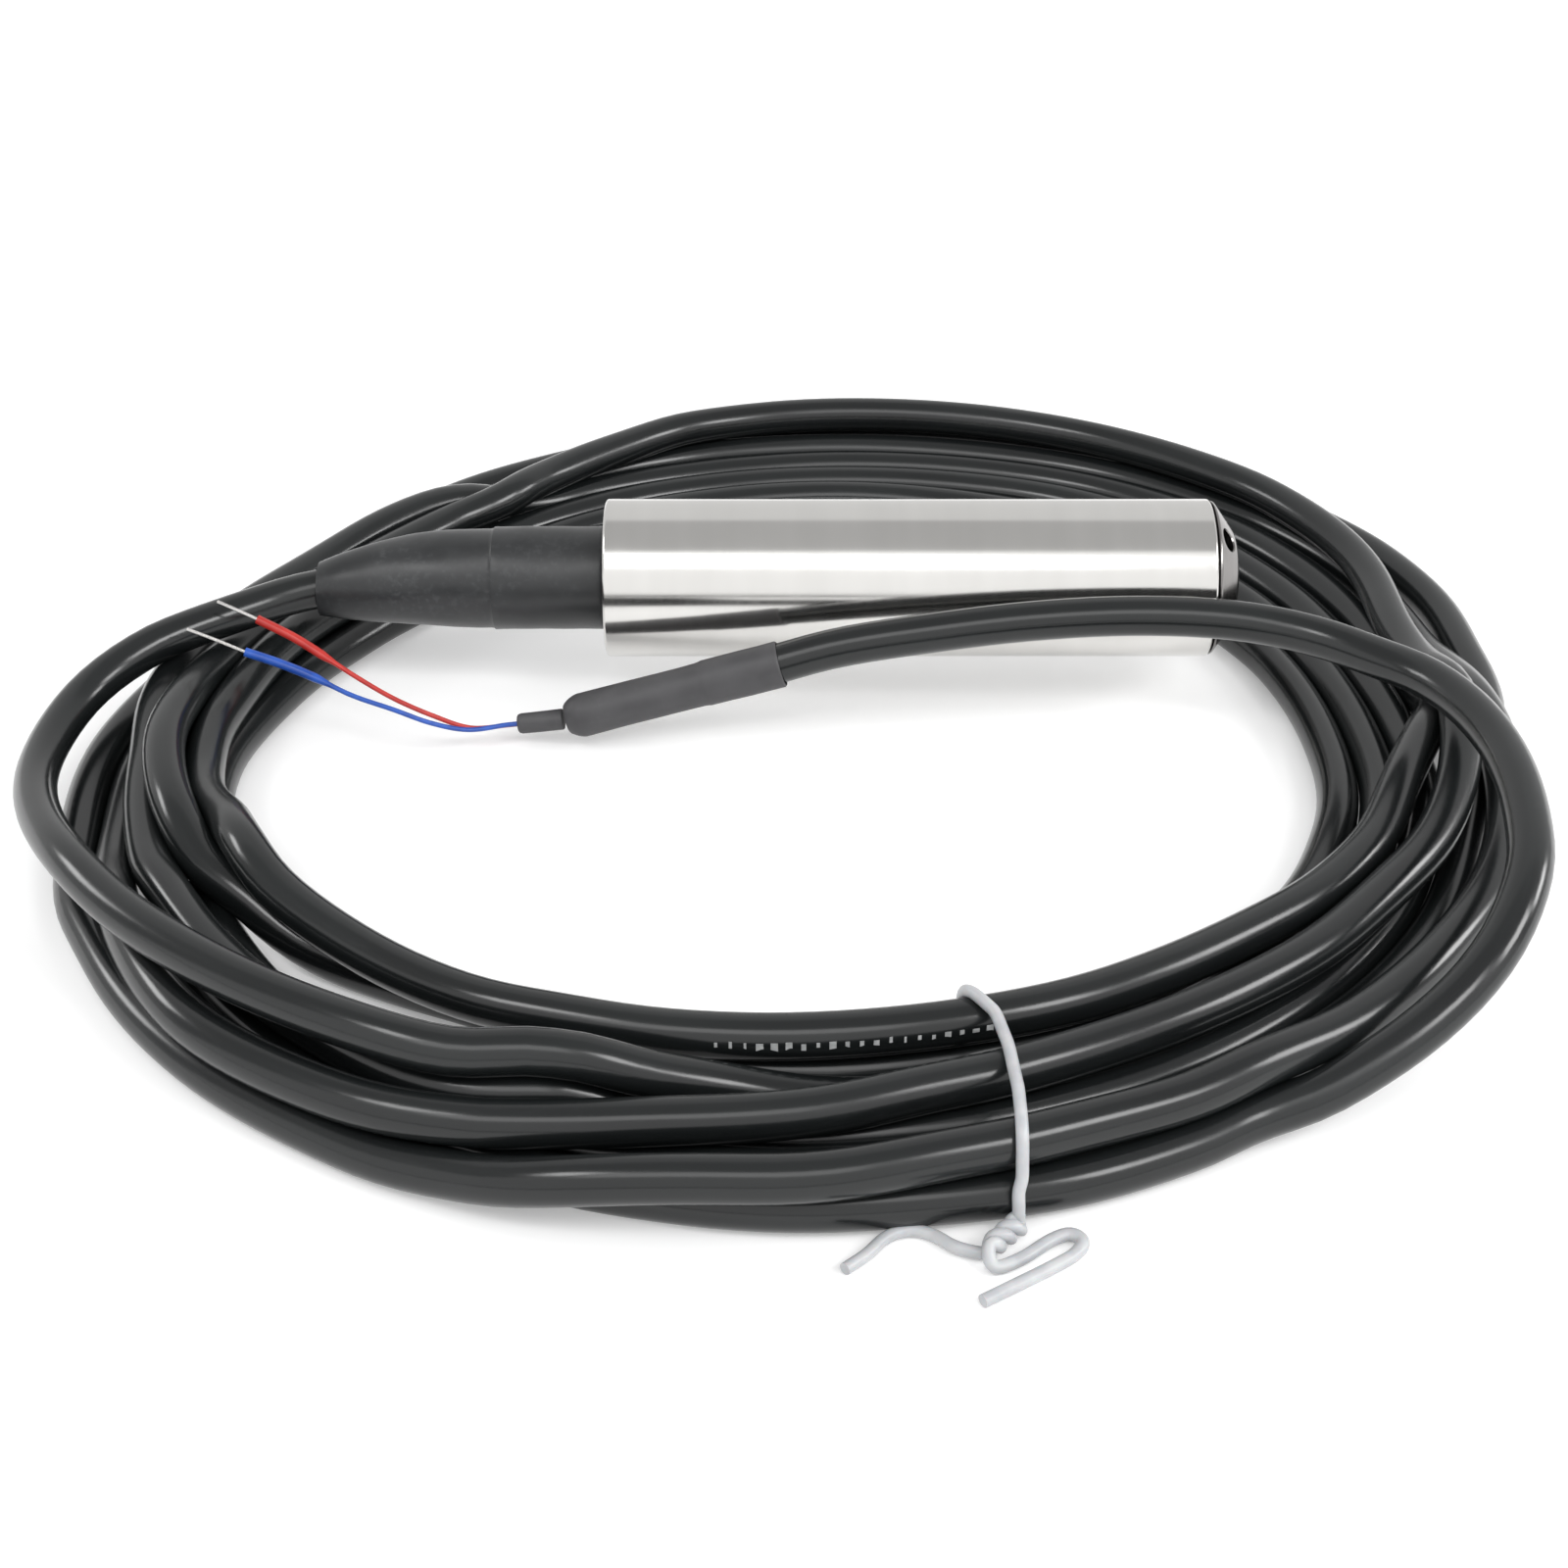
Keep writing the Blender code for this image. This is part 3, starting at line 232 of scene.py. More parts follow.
class SurfaceGroups:
    """The surface effects that several finishes share, each built once as a node group."""

    def __init__(self) -> None:
        """Builds the groups."""
        self.turned_grain = self._turned_grain()
        self.dust = self._dust()
        self.mottle = self._mottle()

    @staticmethod
    def _start(name: str, scales: dict[str, float], *outputs: str) -> Tree:
        """Starts a group that reads coordinates and a few scales.

        Args:
            name: the group's name.
            scales: the default of each scale by its name.
            outputs: the names of the numbers that it gives.

        Returns:
            The group's tree.
        """
        inputs = {"Vector": ("NodeSocketVector", None)}
        inputs.update({key: (FLOAT, scale) for key, scale in scales.items()})
        return Tree.group(name, "ShaderNodeTree", inputs, dict.fromkeys(outputs, FLOAT))

    def _turned_grain(self) -> bpy.types.NodeTree:
        """Makes the fine rings that turning leaves round the X axis, with a few deeper ones."""
        group = self._start("turned_grain", {"Pitch": 2600.0, "Smear": 90.0}, "Grain", "Bands")
        parts = group.add("ShaderNodeSeparateXYZ", {0: group.source["Vector"]}).outputs
        rings = group.add("ShaderNodeCombineXYZ", {
            axis: group.math("MULTIPLY", parts[axis], group.source[scale])
            for axis, scale in (("X", "Pitch"), ("Y", "Smear"), ("Z", "Smear"))}).outputs[0]
        group.feed(group.target, {"Grain": group.noise(rings, 1.0, 4.0, 0.7),
                                  "Bands": group.noise(rings, 0.06, 2.0, 0.6)})
        return group.tree

    def _dust(self) -> bpy.types.NodeTree:
        """Makes pale dust and short scuffs that gather in patches."""
        group = self._start("patchy_dust", {"Patch Scale": 60.0, "Speck Scale": 900.0}, "Mask")
        read = group.source
        patches = group.spread(group.noise(read["Vector"], read["Patch Scale"], 4.0, 0.6), 0.46, 0.72)
        specks = group.spread(group.noise(read["Vector"], read["Speck Scale"], 2.0, 0.6), 0.5, 0.7)
        share = group.math("MULTIPLY_ADD", specks, 0.7, 0.3)
        group.feed(group.target, {"Mask": group.math("MULTIPLY", patches, share)})
        return group.tree

    def _mottle(self) -> bpy.types.NodeTree:
        """Makes the soft unevenness of a moulded or drawn surface, coarse and fine."""
        group = self._start("soft_mottle", {"Coarse": 120.0, "Fine": 2200.0}, "Cloud", "Height")
        cloud = group.noise(group.source["Vector"], group.source["Coarse"], 3.0, 0.5)
        fine = group.noise(group.source["Vector"], group.source["Fine"], 2.0, 0.6)
        group.feed(group.target, {"Cloud": cloud, "Height": group.math("MULTIPLY_ADD", fine, 0.35, cloud)})
        return group.tree


# ---------------------------------------------------------------- finishes


@dataclass(frozen=True)
class Finish:
    """What every finish has: a name, two close tones, its gloss and how its pattern lies."""

    name: str
    colour: Triple
    shade: Triple
    roughness: float = 0.4
    follows: Coordinates = Coordinates.OBJECT

    def start(self) -> tuple[bpy.types.Material, Tree, bpy.types.Node, bpy.types.NodeSocket]:
        """Makes the material with its Principled shader.

        Returns:
            The material, its tree, the shader node and the coordinates.
        """
        material = bpy.data.materials.new(self.name)
        material.use_nodes = True
        material.diffuse_color = (*self.colour, 1.0)
        tree = Tree(material.node_tree)
        coordinates = tree.add("ShaderNodeTexCoord").outputs[self.follows.value]
        return material, tree, material.node_tree.nodes["Principled BSDF"], coordinates


@dataclass(frozen=True)
class TurnedMetal(Finish):
    """Metal with fine turning rings round the probe's axis."""

    pitch: float = 2600.0
    depth: float = 0.12
    spread: float = 0.08

    def build(self, groups: SurfaceGroups) -> bpy.types.Material:
        """Makes the material.

        Args:
            groups: the shared surface effects.

        Returns:
            The finished material.
        """
        material, tree, shader, vector = self.start()
        rings = tree.add("ShaderNodeGroup", {"Vector": vector, "Pitch": self.pitch},
                         node_tree=groups.turned_grain).outputs
        cloud = tree.add("ShaderNodeGroup", {"Vector": vector, "Coarse": 70.0, "Fine": 900.0},
                         node_tree=groups.mottle).outputs["Cloud"]
        tone = tree.math("MULTIPLY_ADD", rings["Bands"], 0.6, tree.math("MULTIPLY", cloud, 0.4))
        tree.feed(shader, {
            "Base Color": tree.blend(tree.spread(tone, 0.35, 0.68), self.shade, self.colour),
            "Roughness": tree.spread(tree.math("ADD", rings["Grain"], cloud), 0.7, 1.3,
                                     self.roughness - self.spread, self.roughness + self.spread),
            "Metallic": 1.0, "Normal": tree.bump(rings["Grain"], self.depth, 0.02)})
        return material


@dataclass(frozen=True)
class Moulded(Finish):
    """Plastic, rubber or film with soft unevenness, a fine skin and a little dust."""

    dust: Triple = (0.2, 0.2, 0.2)
    dust_share: float = 0.0
    dust_scale: float = 60.0
    coarse: float = 120.0
    fine: float = 2200.0
    depth: float = 0.15
    spread: float = 0.06
    under_skin: float = 0.0
    stretch: Triple = (1.0, 1.0, 1.0)
    coat: float = 0.0

    def build(self, groups: SurfaceGroups) -> bpy.types.Material:
        """Makes the material.

        Args:
            groups: the shared surface effects.

        Returns:
            The finished material.
        """
        material, tree, shader, vector = self.start()
        vector = tree.add("ShaderNodeMapping", {"Vector": vector, "Scale": self.stretch}).outputs["Vector"]
        mottle = tree.add("ShaderNodeGroup", {"Vector": vector, "Coarse": self.coarse, "Fine": self.fine},
                          node_tree=groups.mottle).outputs
        dust = tree.add("ShaderNodeGroup", {"Vector": vector, "Patch Scale": self.dust_scale,
                                            "Speck Scale": self.fine * 0.5}, node_tree=groups.dust).outputs
        base = tree.blend(tree.spread(mottle["Cloud"], 0.35, 0.65), self.shade, self.colour)
        film = tree.math("MULTIPLY", dust["Mask"], self.dust_share)
        rough = tree.spread(mottle["Height"], 0.45, 0.95, self.roughness - self.spread,
                            self.roughness + self.spread)
        tree.feed(shader, {
            "Base Color": tree.blend(film, base, self.dust),
            "Roughness": tree.math("MULTIPLY_ADD", film, 0.5, rough),
            "Subsurface Weight": self.under_skin, "Subsurface Scale": 0.6 * MM, "Coat Weight": self.coat,
            "Coat Roughness": 0.12, "Normal": tree.bump(mottle["Height"], self.depth, 0.05)})
        return material


FINISHES: dict[Slot, Finish] = {
    Slot.HOUSING: TurnedMetal("satin_turned_steel", (0.71, 0.70, 0.68), (0.67, 0.66, 0.64), 0.15, depth=0.02,
                              spread=0.03),
    # the nose's steel is set darker than the housing's steel, as painted shade on the cone
    Slot.NOSE: TurnedMetal("nose_steel_painted_shade", (0.27, 0.26, 0.255), (0.22, 0.21, 0.205), 0.20,
                           depth=0.06, spread=0.04),
    Slot.INNER: TurnedMetal("machined_inner_steel", (0.60, 0.60, 0.60), (0.50, 0.50, 0.51), 0.28,
                            pitch=1800.0),
    Slot.BRASS: TurnedMetal("machined_brass", (0.80, 0.58, 0.24), (0.68, 0.47, 0.17), 0.26, pitch=1900.0),
    Slot.TINNED: TurnedMetal("tinned_copper", (0.74, 0.73, 0.72), (0.60, 0.58, 0.56), 0.30, pitch=900.0),
    Slot.CABLE: Moulded("cable_black_jacket", (0.0095, 0.0112, 0.0114), (0.0068, 0.0078, 0.0081), 0.20,
                        follows=Coordinates.ALONG, dust=(0.05, 0.053, 0.055), dust_share=0.12,
                        dust_scale=14.0, coarse=26.0, fine=420.0, depth=0.05, spread=0.03,
                        stretch=(1.0, 0.14, 1.0)),
    Slot.SLEEVE: Moulded("sleeve_black_satin", (0.020, 0.021, 0.022), (0.014, 0.015, 0.016), 0.36,
                         dust=(0.13, 0.135, 0.14), dust_share=0.28, dust_scale=75.0, coarse=90.0, fine=1600.0,
                         depth=0.22),
    Slot.BOOT: Moulded("boot_grey_shrunk", (0.062, 0.061, 0.064), (0.046, 0.045, 0.048), 0.55,
                       dust=(0.16, 0.16, 0.16), dust_share=0.2, coarse=150.0, fine=2600.0, depth=0.30),
    Slot.TIE: Moulded("tie_white_coated", (0.50, 0.51, 0.52), (0.41, 0.42, 0.44), 0.36, coarse=260.0,
                      fine=1500.0, depth=0.2, under_skin=0.15),
    Slot.RED: Moulded("core_red_insulation", (0.50, 0.030, 0.022), (0.38, 0.018, 0.014), 0.34,
                      dust=(0.5, 0.3, 0.28), dust_share=0.1, coarse=300.0, fine=3000.0),
    Slot.BLUE: Moulded("core_blue_insulation", (0.016, 0.085, 0.42), (0.010, 0.055, 0.30), 0.34,
                       dust=(0.3, 0.36, 0.5), dust_share=0.1, coarse=300.0, fine=3000.0),
    Slot.RUBBER: Moulded("seal_nitrile", (0.022, 0.022, 0.022), (0.016, 0.016, 0.016), 0.62),
    Slot.CERAMIC: Moulded("arrester_ceramic", (0.80, 0.78, 0.72), (0.72, 0.70, 0.64), 0.36),
    Slot.VENT: Moulded("vent_polymer", (0.78, 0.80, 0.82), (0.70, 0.72, 0.75), 0.28, under_skin=0.2),
    Slot.CHIP: Moulded("chip_epoxy", (0.030, 0.030, 0.032), (0.020, 0.020, 0.022), 0.58, fine=4000.0),
    Slot.LINER: Moulded("liner_polyimide", (0.72, 0.44, 0.12), (0.62, 0.36, 0.09), 0.30),
    Slot.NYLON: Moulded("holder_nylon", (0.78, 0.77, 0.72), (0.70, 0.69, 0.64), 0.46),
    Slot.BOARD: Moulded("board_solder_mask", (0.016, 0.15, 0.055), (0.010, 0.10, 0.035), 0.34, coarse=420.0,
                        fine=3000.0, coat=0.3),
    Slot.TRIMMER: Moulded("trimmer_polyester", (0.03, 0.13, 0.46), (0.02, 0.10, 0.38), 0.42),
    Slot.TERMINAL: Moulded("terminal_polyamide", (0.05, 0.33, 0.12), (0.035, 0.26, 0.09), 0.44)}
INK = Moulded("cable_marking_ink", (0.52, 0.53, 0.53), (0.36, 0.37, 0.37), 0.5, coarse=900.0)
# a darker steel for the inside of the port bores: painted shade in the holes
BORE_PAINTED_SHADE = TurnedMetal("bore_steel_painted_shade", (0.16, 0.15, 0.145), (0.10, 0.095, 0.09), 0.34)


class Finishes:
    """Every material of the object, built once and looked up by the record's slot."""

    def __init__(self) -> None:
        """Builds all the materials."""
        groups = SurfaceGroups()
        self.by_slot = {slot: finish.build(groups) for slot, finish in FINISHES.items()}
        self.ink = INK.build(groups)
        self.bore_painted_shade = BORE_PAINTED_SHADE.build(groups)

    def of(self, slot: Slot) -> bpy.types.Material:
        """Returns a slot's material."""
        return self.by_slot[slot]


# ---------------------------------------------------------------- paths and meshes


def linked(name: str, data: bpy.types.ID) -> bpy.types.Object:
    """Makes an object and links it to the scene.

    Args:
        name: the object's name.
        data: its mesh, curve, camera or light.

    Returns:
        The new object.
    """
    made = bpy.data.objects.new(name, data)
    bpy.context.scene.collection.objects.link(made)
    return made


@dataclass
class Part:
    """A part of the object, which adds its pieces with the object's materials."""

    finishes: Finishes

    def add(self, name: str, mesh: bpy.types.Mesh, slot: Slot, replaces: Sequence[str] = (),
            smooth_angle: float = 35.0) -> bpy.types.Object:
        """Links a finished mesh as a piece of the object.

        Args:
            name: the piece's name.
            mesh: its mesh, in the object's frame. One that has no material gets its slot's.
            slot: the record's slot, whose material goes on a mesh that has none.
            replaces: the CAD nodes that it stands for.
            smooth_angle: edges sharper than this stay hard.

        Returns:
            The new object.
        """
        mesh.name = name
        if not mesh.materials:
            mesh.materials.append(self.finishes.of(slot))
        mesh.shade_smooth()
        mesh.set_sharp_from_angle(angle=math.radians(smooth_angle))
        piece = linked(name, mesh)
        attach(piece, ROOT)
        if replaces:
            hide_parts(*replaces)
        LOG.info("%s: %d faces", name, len(mesh.polygons))
        return piece


def distances(path: np.ndarray) -> np.ndarray:
    """Returns how far along a path each of its points lies."""
    return np.concatenate([[0.0], np.cumsum(np.linalg.norm(np.diff(path, axis=0), axis=1))])


def resampled(path: np.ndarray, places: np.ndarray) -> np.ndarray:
    """Returns a path's points at given distances along it."""
    along = distances(path)
    return np.stack([np.interp(places, along, column) for column in path.T], axis=1)


def unit_tangents(path: np.ndarray) -> np.ndarray:
    """Returns a path's directions at its points."""
    tangents = np.gradient(path, axis=0)
    return tangents / np.linalg.norm(tangents, axis=1)[:, None]


def smooth_path(knots: np.ndarray, spacing: float) -> np.ndarray:
    """Lays an even path through knots on a centripetal Catmull-Rom curve.

    Args:
        knots: the points to pass through.
        spacing: about how far apart the new points are.

    Returns:
        Evenly spaced points.
    """
    knots = np.vstack([2 * knots[0] - knots[1], knots, 2 * knots[-1] - knots[-2]])
    dense = []
    for p0, p1, p2, p3 in zip(knots, knots[1:], knots[2:], knots[3:]):
        t1 = np.linalg.norm(p1 - p0) ** 0.5
        t2 = t1 + np.linalg.norm(p2 - p1) ** 0.5
        t3 = t2 + np.linalg.norm(p3 - p2) ** 0.5
        for t in np.linspace(t1, t2, 12, endpoint=False):
            a1 = (t1 - t) / t1 * p0 + t / t1 * p1
            a2 = (t2 - t) / (t2 - t1) * p1 + (t - t1) / (t2 - t1) * p2
            a3 = (t3 - t) / (t3 - t2) * p2 + (t - t2) / (t3 - t2) * p3
            b1 = (t2 - t) / t2 * a1 + t / t2 * a2
            b2 = (t3 - t) / (t3 - t1) * a2 + (t - t1) / (t3 - t1) * a3
            dense.append((t2 - t) / (t2 - t1) * b1 + (t - t1) / (t2 - t1) * b2)
    dense = np.array(dense + [knots[-2]])
    length = distances(dense)[-1]
    return resampled(dense, np.linspace(0.0, length, max(2, int(round(length / spacing)) + 1)))


def frames_along(path: np.ndarray, up: Sequence[float]) -> tuple[np.ndarray, np.ndarray]:
    """Carries a frame along a path without twist.

    Args:
        path: the path's points.
        up: a direction that the first frame leans to.

    Returns:
        The normals and the binormals.
    """
    tangents = unit_tangents(path)
    normals = np.zeros_like(path)
    carried = np.asarray(up, float)
    for index, tangent in enumerate(tangents):
        carried = carried - tangent * (carried @ tangent)
        carried = carried / np.linalg.norm(carried)
        normals[index] = carried
    return normals, np.cross(tangents, normals)


def swept_mesh(name: str, path: np.ndarray, width: np.ndarray | float,
               height: np.ndarray | float | None = None, sides: int = 20) -> bpy.types.Mesh:
    """Sweeps a round or flattened section along a path, with closed ends and a UV map along it.

    Args:
        name: the mesh's name.
        path: the path's points in millimetres.
        width: half the section's width at each point, across the frame's normal.
        height: half its thickness, along the normal; the width where left out.
        sides: the points round the section.

    Returns:
        The closed mesh.
    """
    normals, binormals = frames_along(path, (0.0, 0.0, 1.0))
    count = len(path)
    width = np.broadcast_to(np.asarray(width, float), count)
    height = width if height is None else np.broadcast_to(np.asarray(height, float), count)
    turn = 2 * np.pi * np.arange(sides) / sides
    ring = (normals[:, None] * (np.cos(turn)[None, :, None] * height[:, None, None])
            + binormals[:, None] * (np.sin(turn)[None, :, None] * width[:, None, None]))
    verts = np.vstack([(path[:, None] + ring).reshape(-1, 3), path[[0, -1]]]) * MM
    along = distances(path) * MM
    faces, coords = [], []
    for row in range(count - 1):
        u0, u1, base = along[row], along[row + 1], row * sides
        for side in range(sides):
            after, v0, v1 = (side + 1) % sides, side / sides, (side + 1) / sides
            faces.append((base + side, base + after, base + sides + after, base + sides + side))
            coords += [(u0, v0), (u0, v1), (u1, v1), (u1, v0)]
    first, last, base = count * sides, count * sides + 1, (count - 1) * sides
    for side in range(sides):
        after, v0, v1 = (side + 1) % sides, side / sides, (side + 1) / sides
        faces += [(first, after, side), (last, base + side, base + after)]
        coords += [(along[0], 0.5), (along[0], v1), (along[0], v0)]
        coords += [(along[-1], 0.5), (along[-1], v0), (along[-1], v1)]
    mesh = bpy.data.meshes.new(name)
    mesh.from_pydata(verts.tolist(), [], faces)
    layer = mesh.uv_layers.new(name="along")
    layer.data.foreach_set("uv", np.asarray(coords, float).ravel())
    mesh.update()
    return mesh


def turned_mesh(name: str, profile: Profile, steps: int) -> bpy.types.Mesh:
    """Turns a closed profile round the X axis.

    Args:
        name: the mesh's name.
        profile: (x, radius) points in millimetres; a radius of 0 is a pole.
        steps: the columns round the axis.

    Returns:
        The closed mesh, with its faces pointing outwards.
    """
    work = bmesh.new()
    columns = []
    for step in range(steps):
        angle = 2 * math.pi * step / steps
        columns.append([work.verts.new((x * MM, r * math.cos(angle) * MM, r * math.sin(angle) * MM))
                        for x, r in profile])
    for here, there in zip(columns, columns[1:] + columns[:1]):
        for index in range(len(profile)):
            after = (index + 1) % len(profile)
            if profile[index][1] or profile[after][1]:
                work.faces.new((here[index], here[after], there[after], there[index]))
    bmesh.ops.remove_doubles(work, verts=work.verts, dist=1e-7)
    bmesh.ops.dissolve_degenerate(work, dist=1e-8, edges=work.edges)
    bmesh.ops.recalc_face_normals(work, faces=work.faces)
    mesh = bpy.data.meshes.new(name)
    work.to_mesh(mesh)
    work.free()
    return mesh


def rounded(profile: Profile, radius: float, rows: int = 3) -> list[tuple[float, float]]:
    """Rounds every corner of a closed profile that isn't on the axis.

    Args:
        profile: (x, radius) points in millimetres.
        radius: the corner's size.
        rows: the points on each rounded corner, beyond its first.

    Returns:
        The rounded profile.
    """
    result: list[tuple[float, float]] = []
    for index, (x, r) in enumerate(profile):
        if r == 0.0:
            result.append((x, r))
            continue
        here = Vector((x, r))
        sides = [Vector(profile[other % len(profile)]) - here for other in (index - 1, index + 1)]
        reach = min(radius, *(side.length * 0.45 for side in sides))
        start, end = (here + side.normalized() * reach for side in sides)
        for row in range(rows + 1):
            t = row / rows
            result.append(tuple(start * (1 - t) ** 2 + here * 2 * t * (1 - t) + end * t ** 2))
    return result


def warp(mesh: bpy.types.Mesh, lift: Callable[[float, float, float], float],
         place: Callable[[Vector, float], Vector]) -> None:
    """Makes a turned shape uneven and puts it in place.

    Args:
        mesh: the turned shape about the X axis, changed in place.
        lift: how far a point moves outwards, from its x, radius and angle round the axis, in millimetres.
        place: where a point goes, from its place in metres and its x in millimetres.
    """
    for vertex in mesh.vertices:
        x = vertex.co.x / MM
        radius = math.hypot(vertex.co.y, vertex.co.z) / MM
        grow = 1 + lift(x, radius, math.atan2(vertex.co.z, vertex.co.y)) / max(radius, 0.5)
        vertex.co.y *= grow
        vertex.co.z *= grow
        vertex.co = place(vertex.co, x)


def plain_mesh(piece: bpy.types.Object) -> bpy.types.Mesh:
    """Returns an object's evaluated shape as a mesh and removes the object."""
    depsgraph = bpy.context.evaluated_depsgraph_get()
    mesh = bpy.data.meshes.new_from_object(piece.evaluated_get(depsgraph), preserve_all_data_layers=True,
                                           depsgraph=depsgraph)
    bpy.data.objects.remove(piece, do_unlink=True)
    return mesh


# ---------------------------------------------------------------- the cable


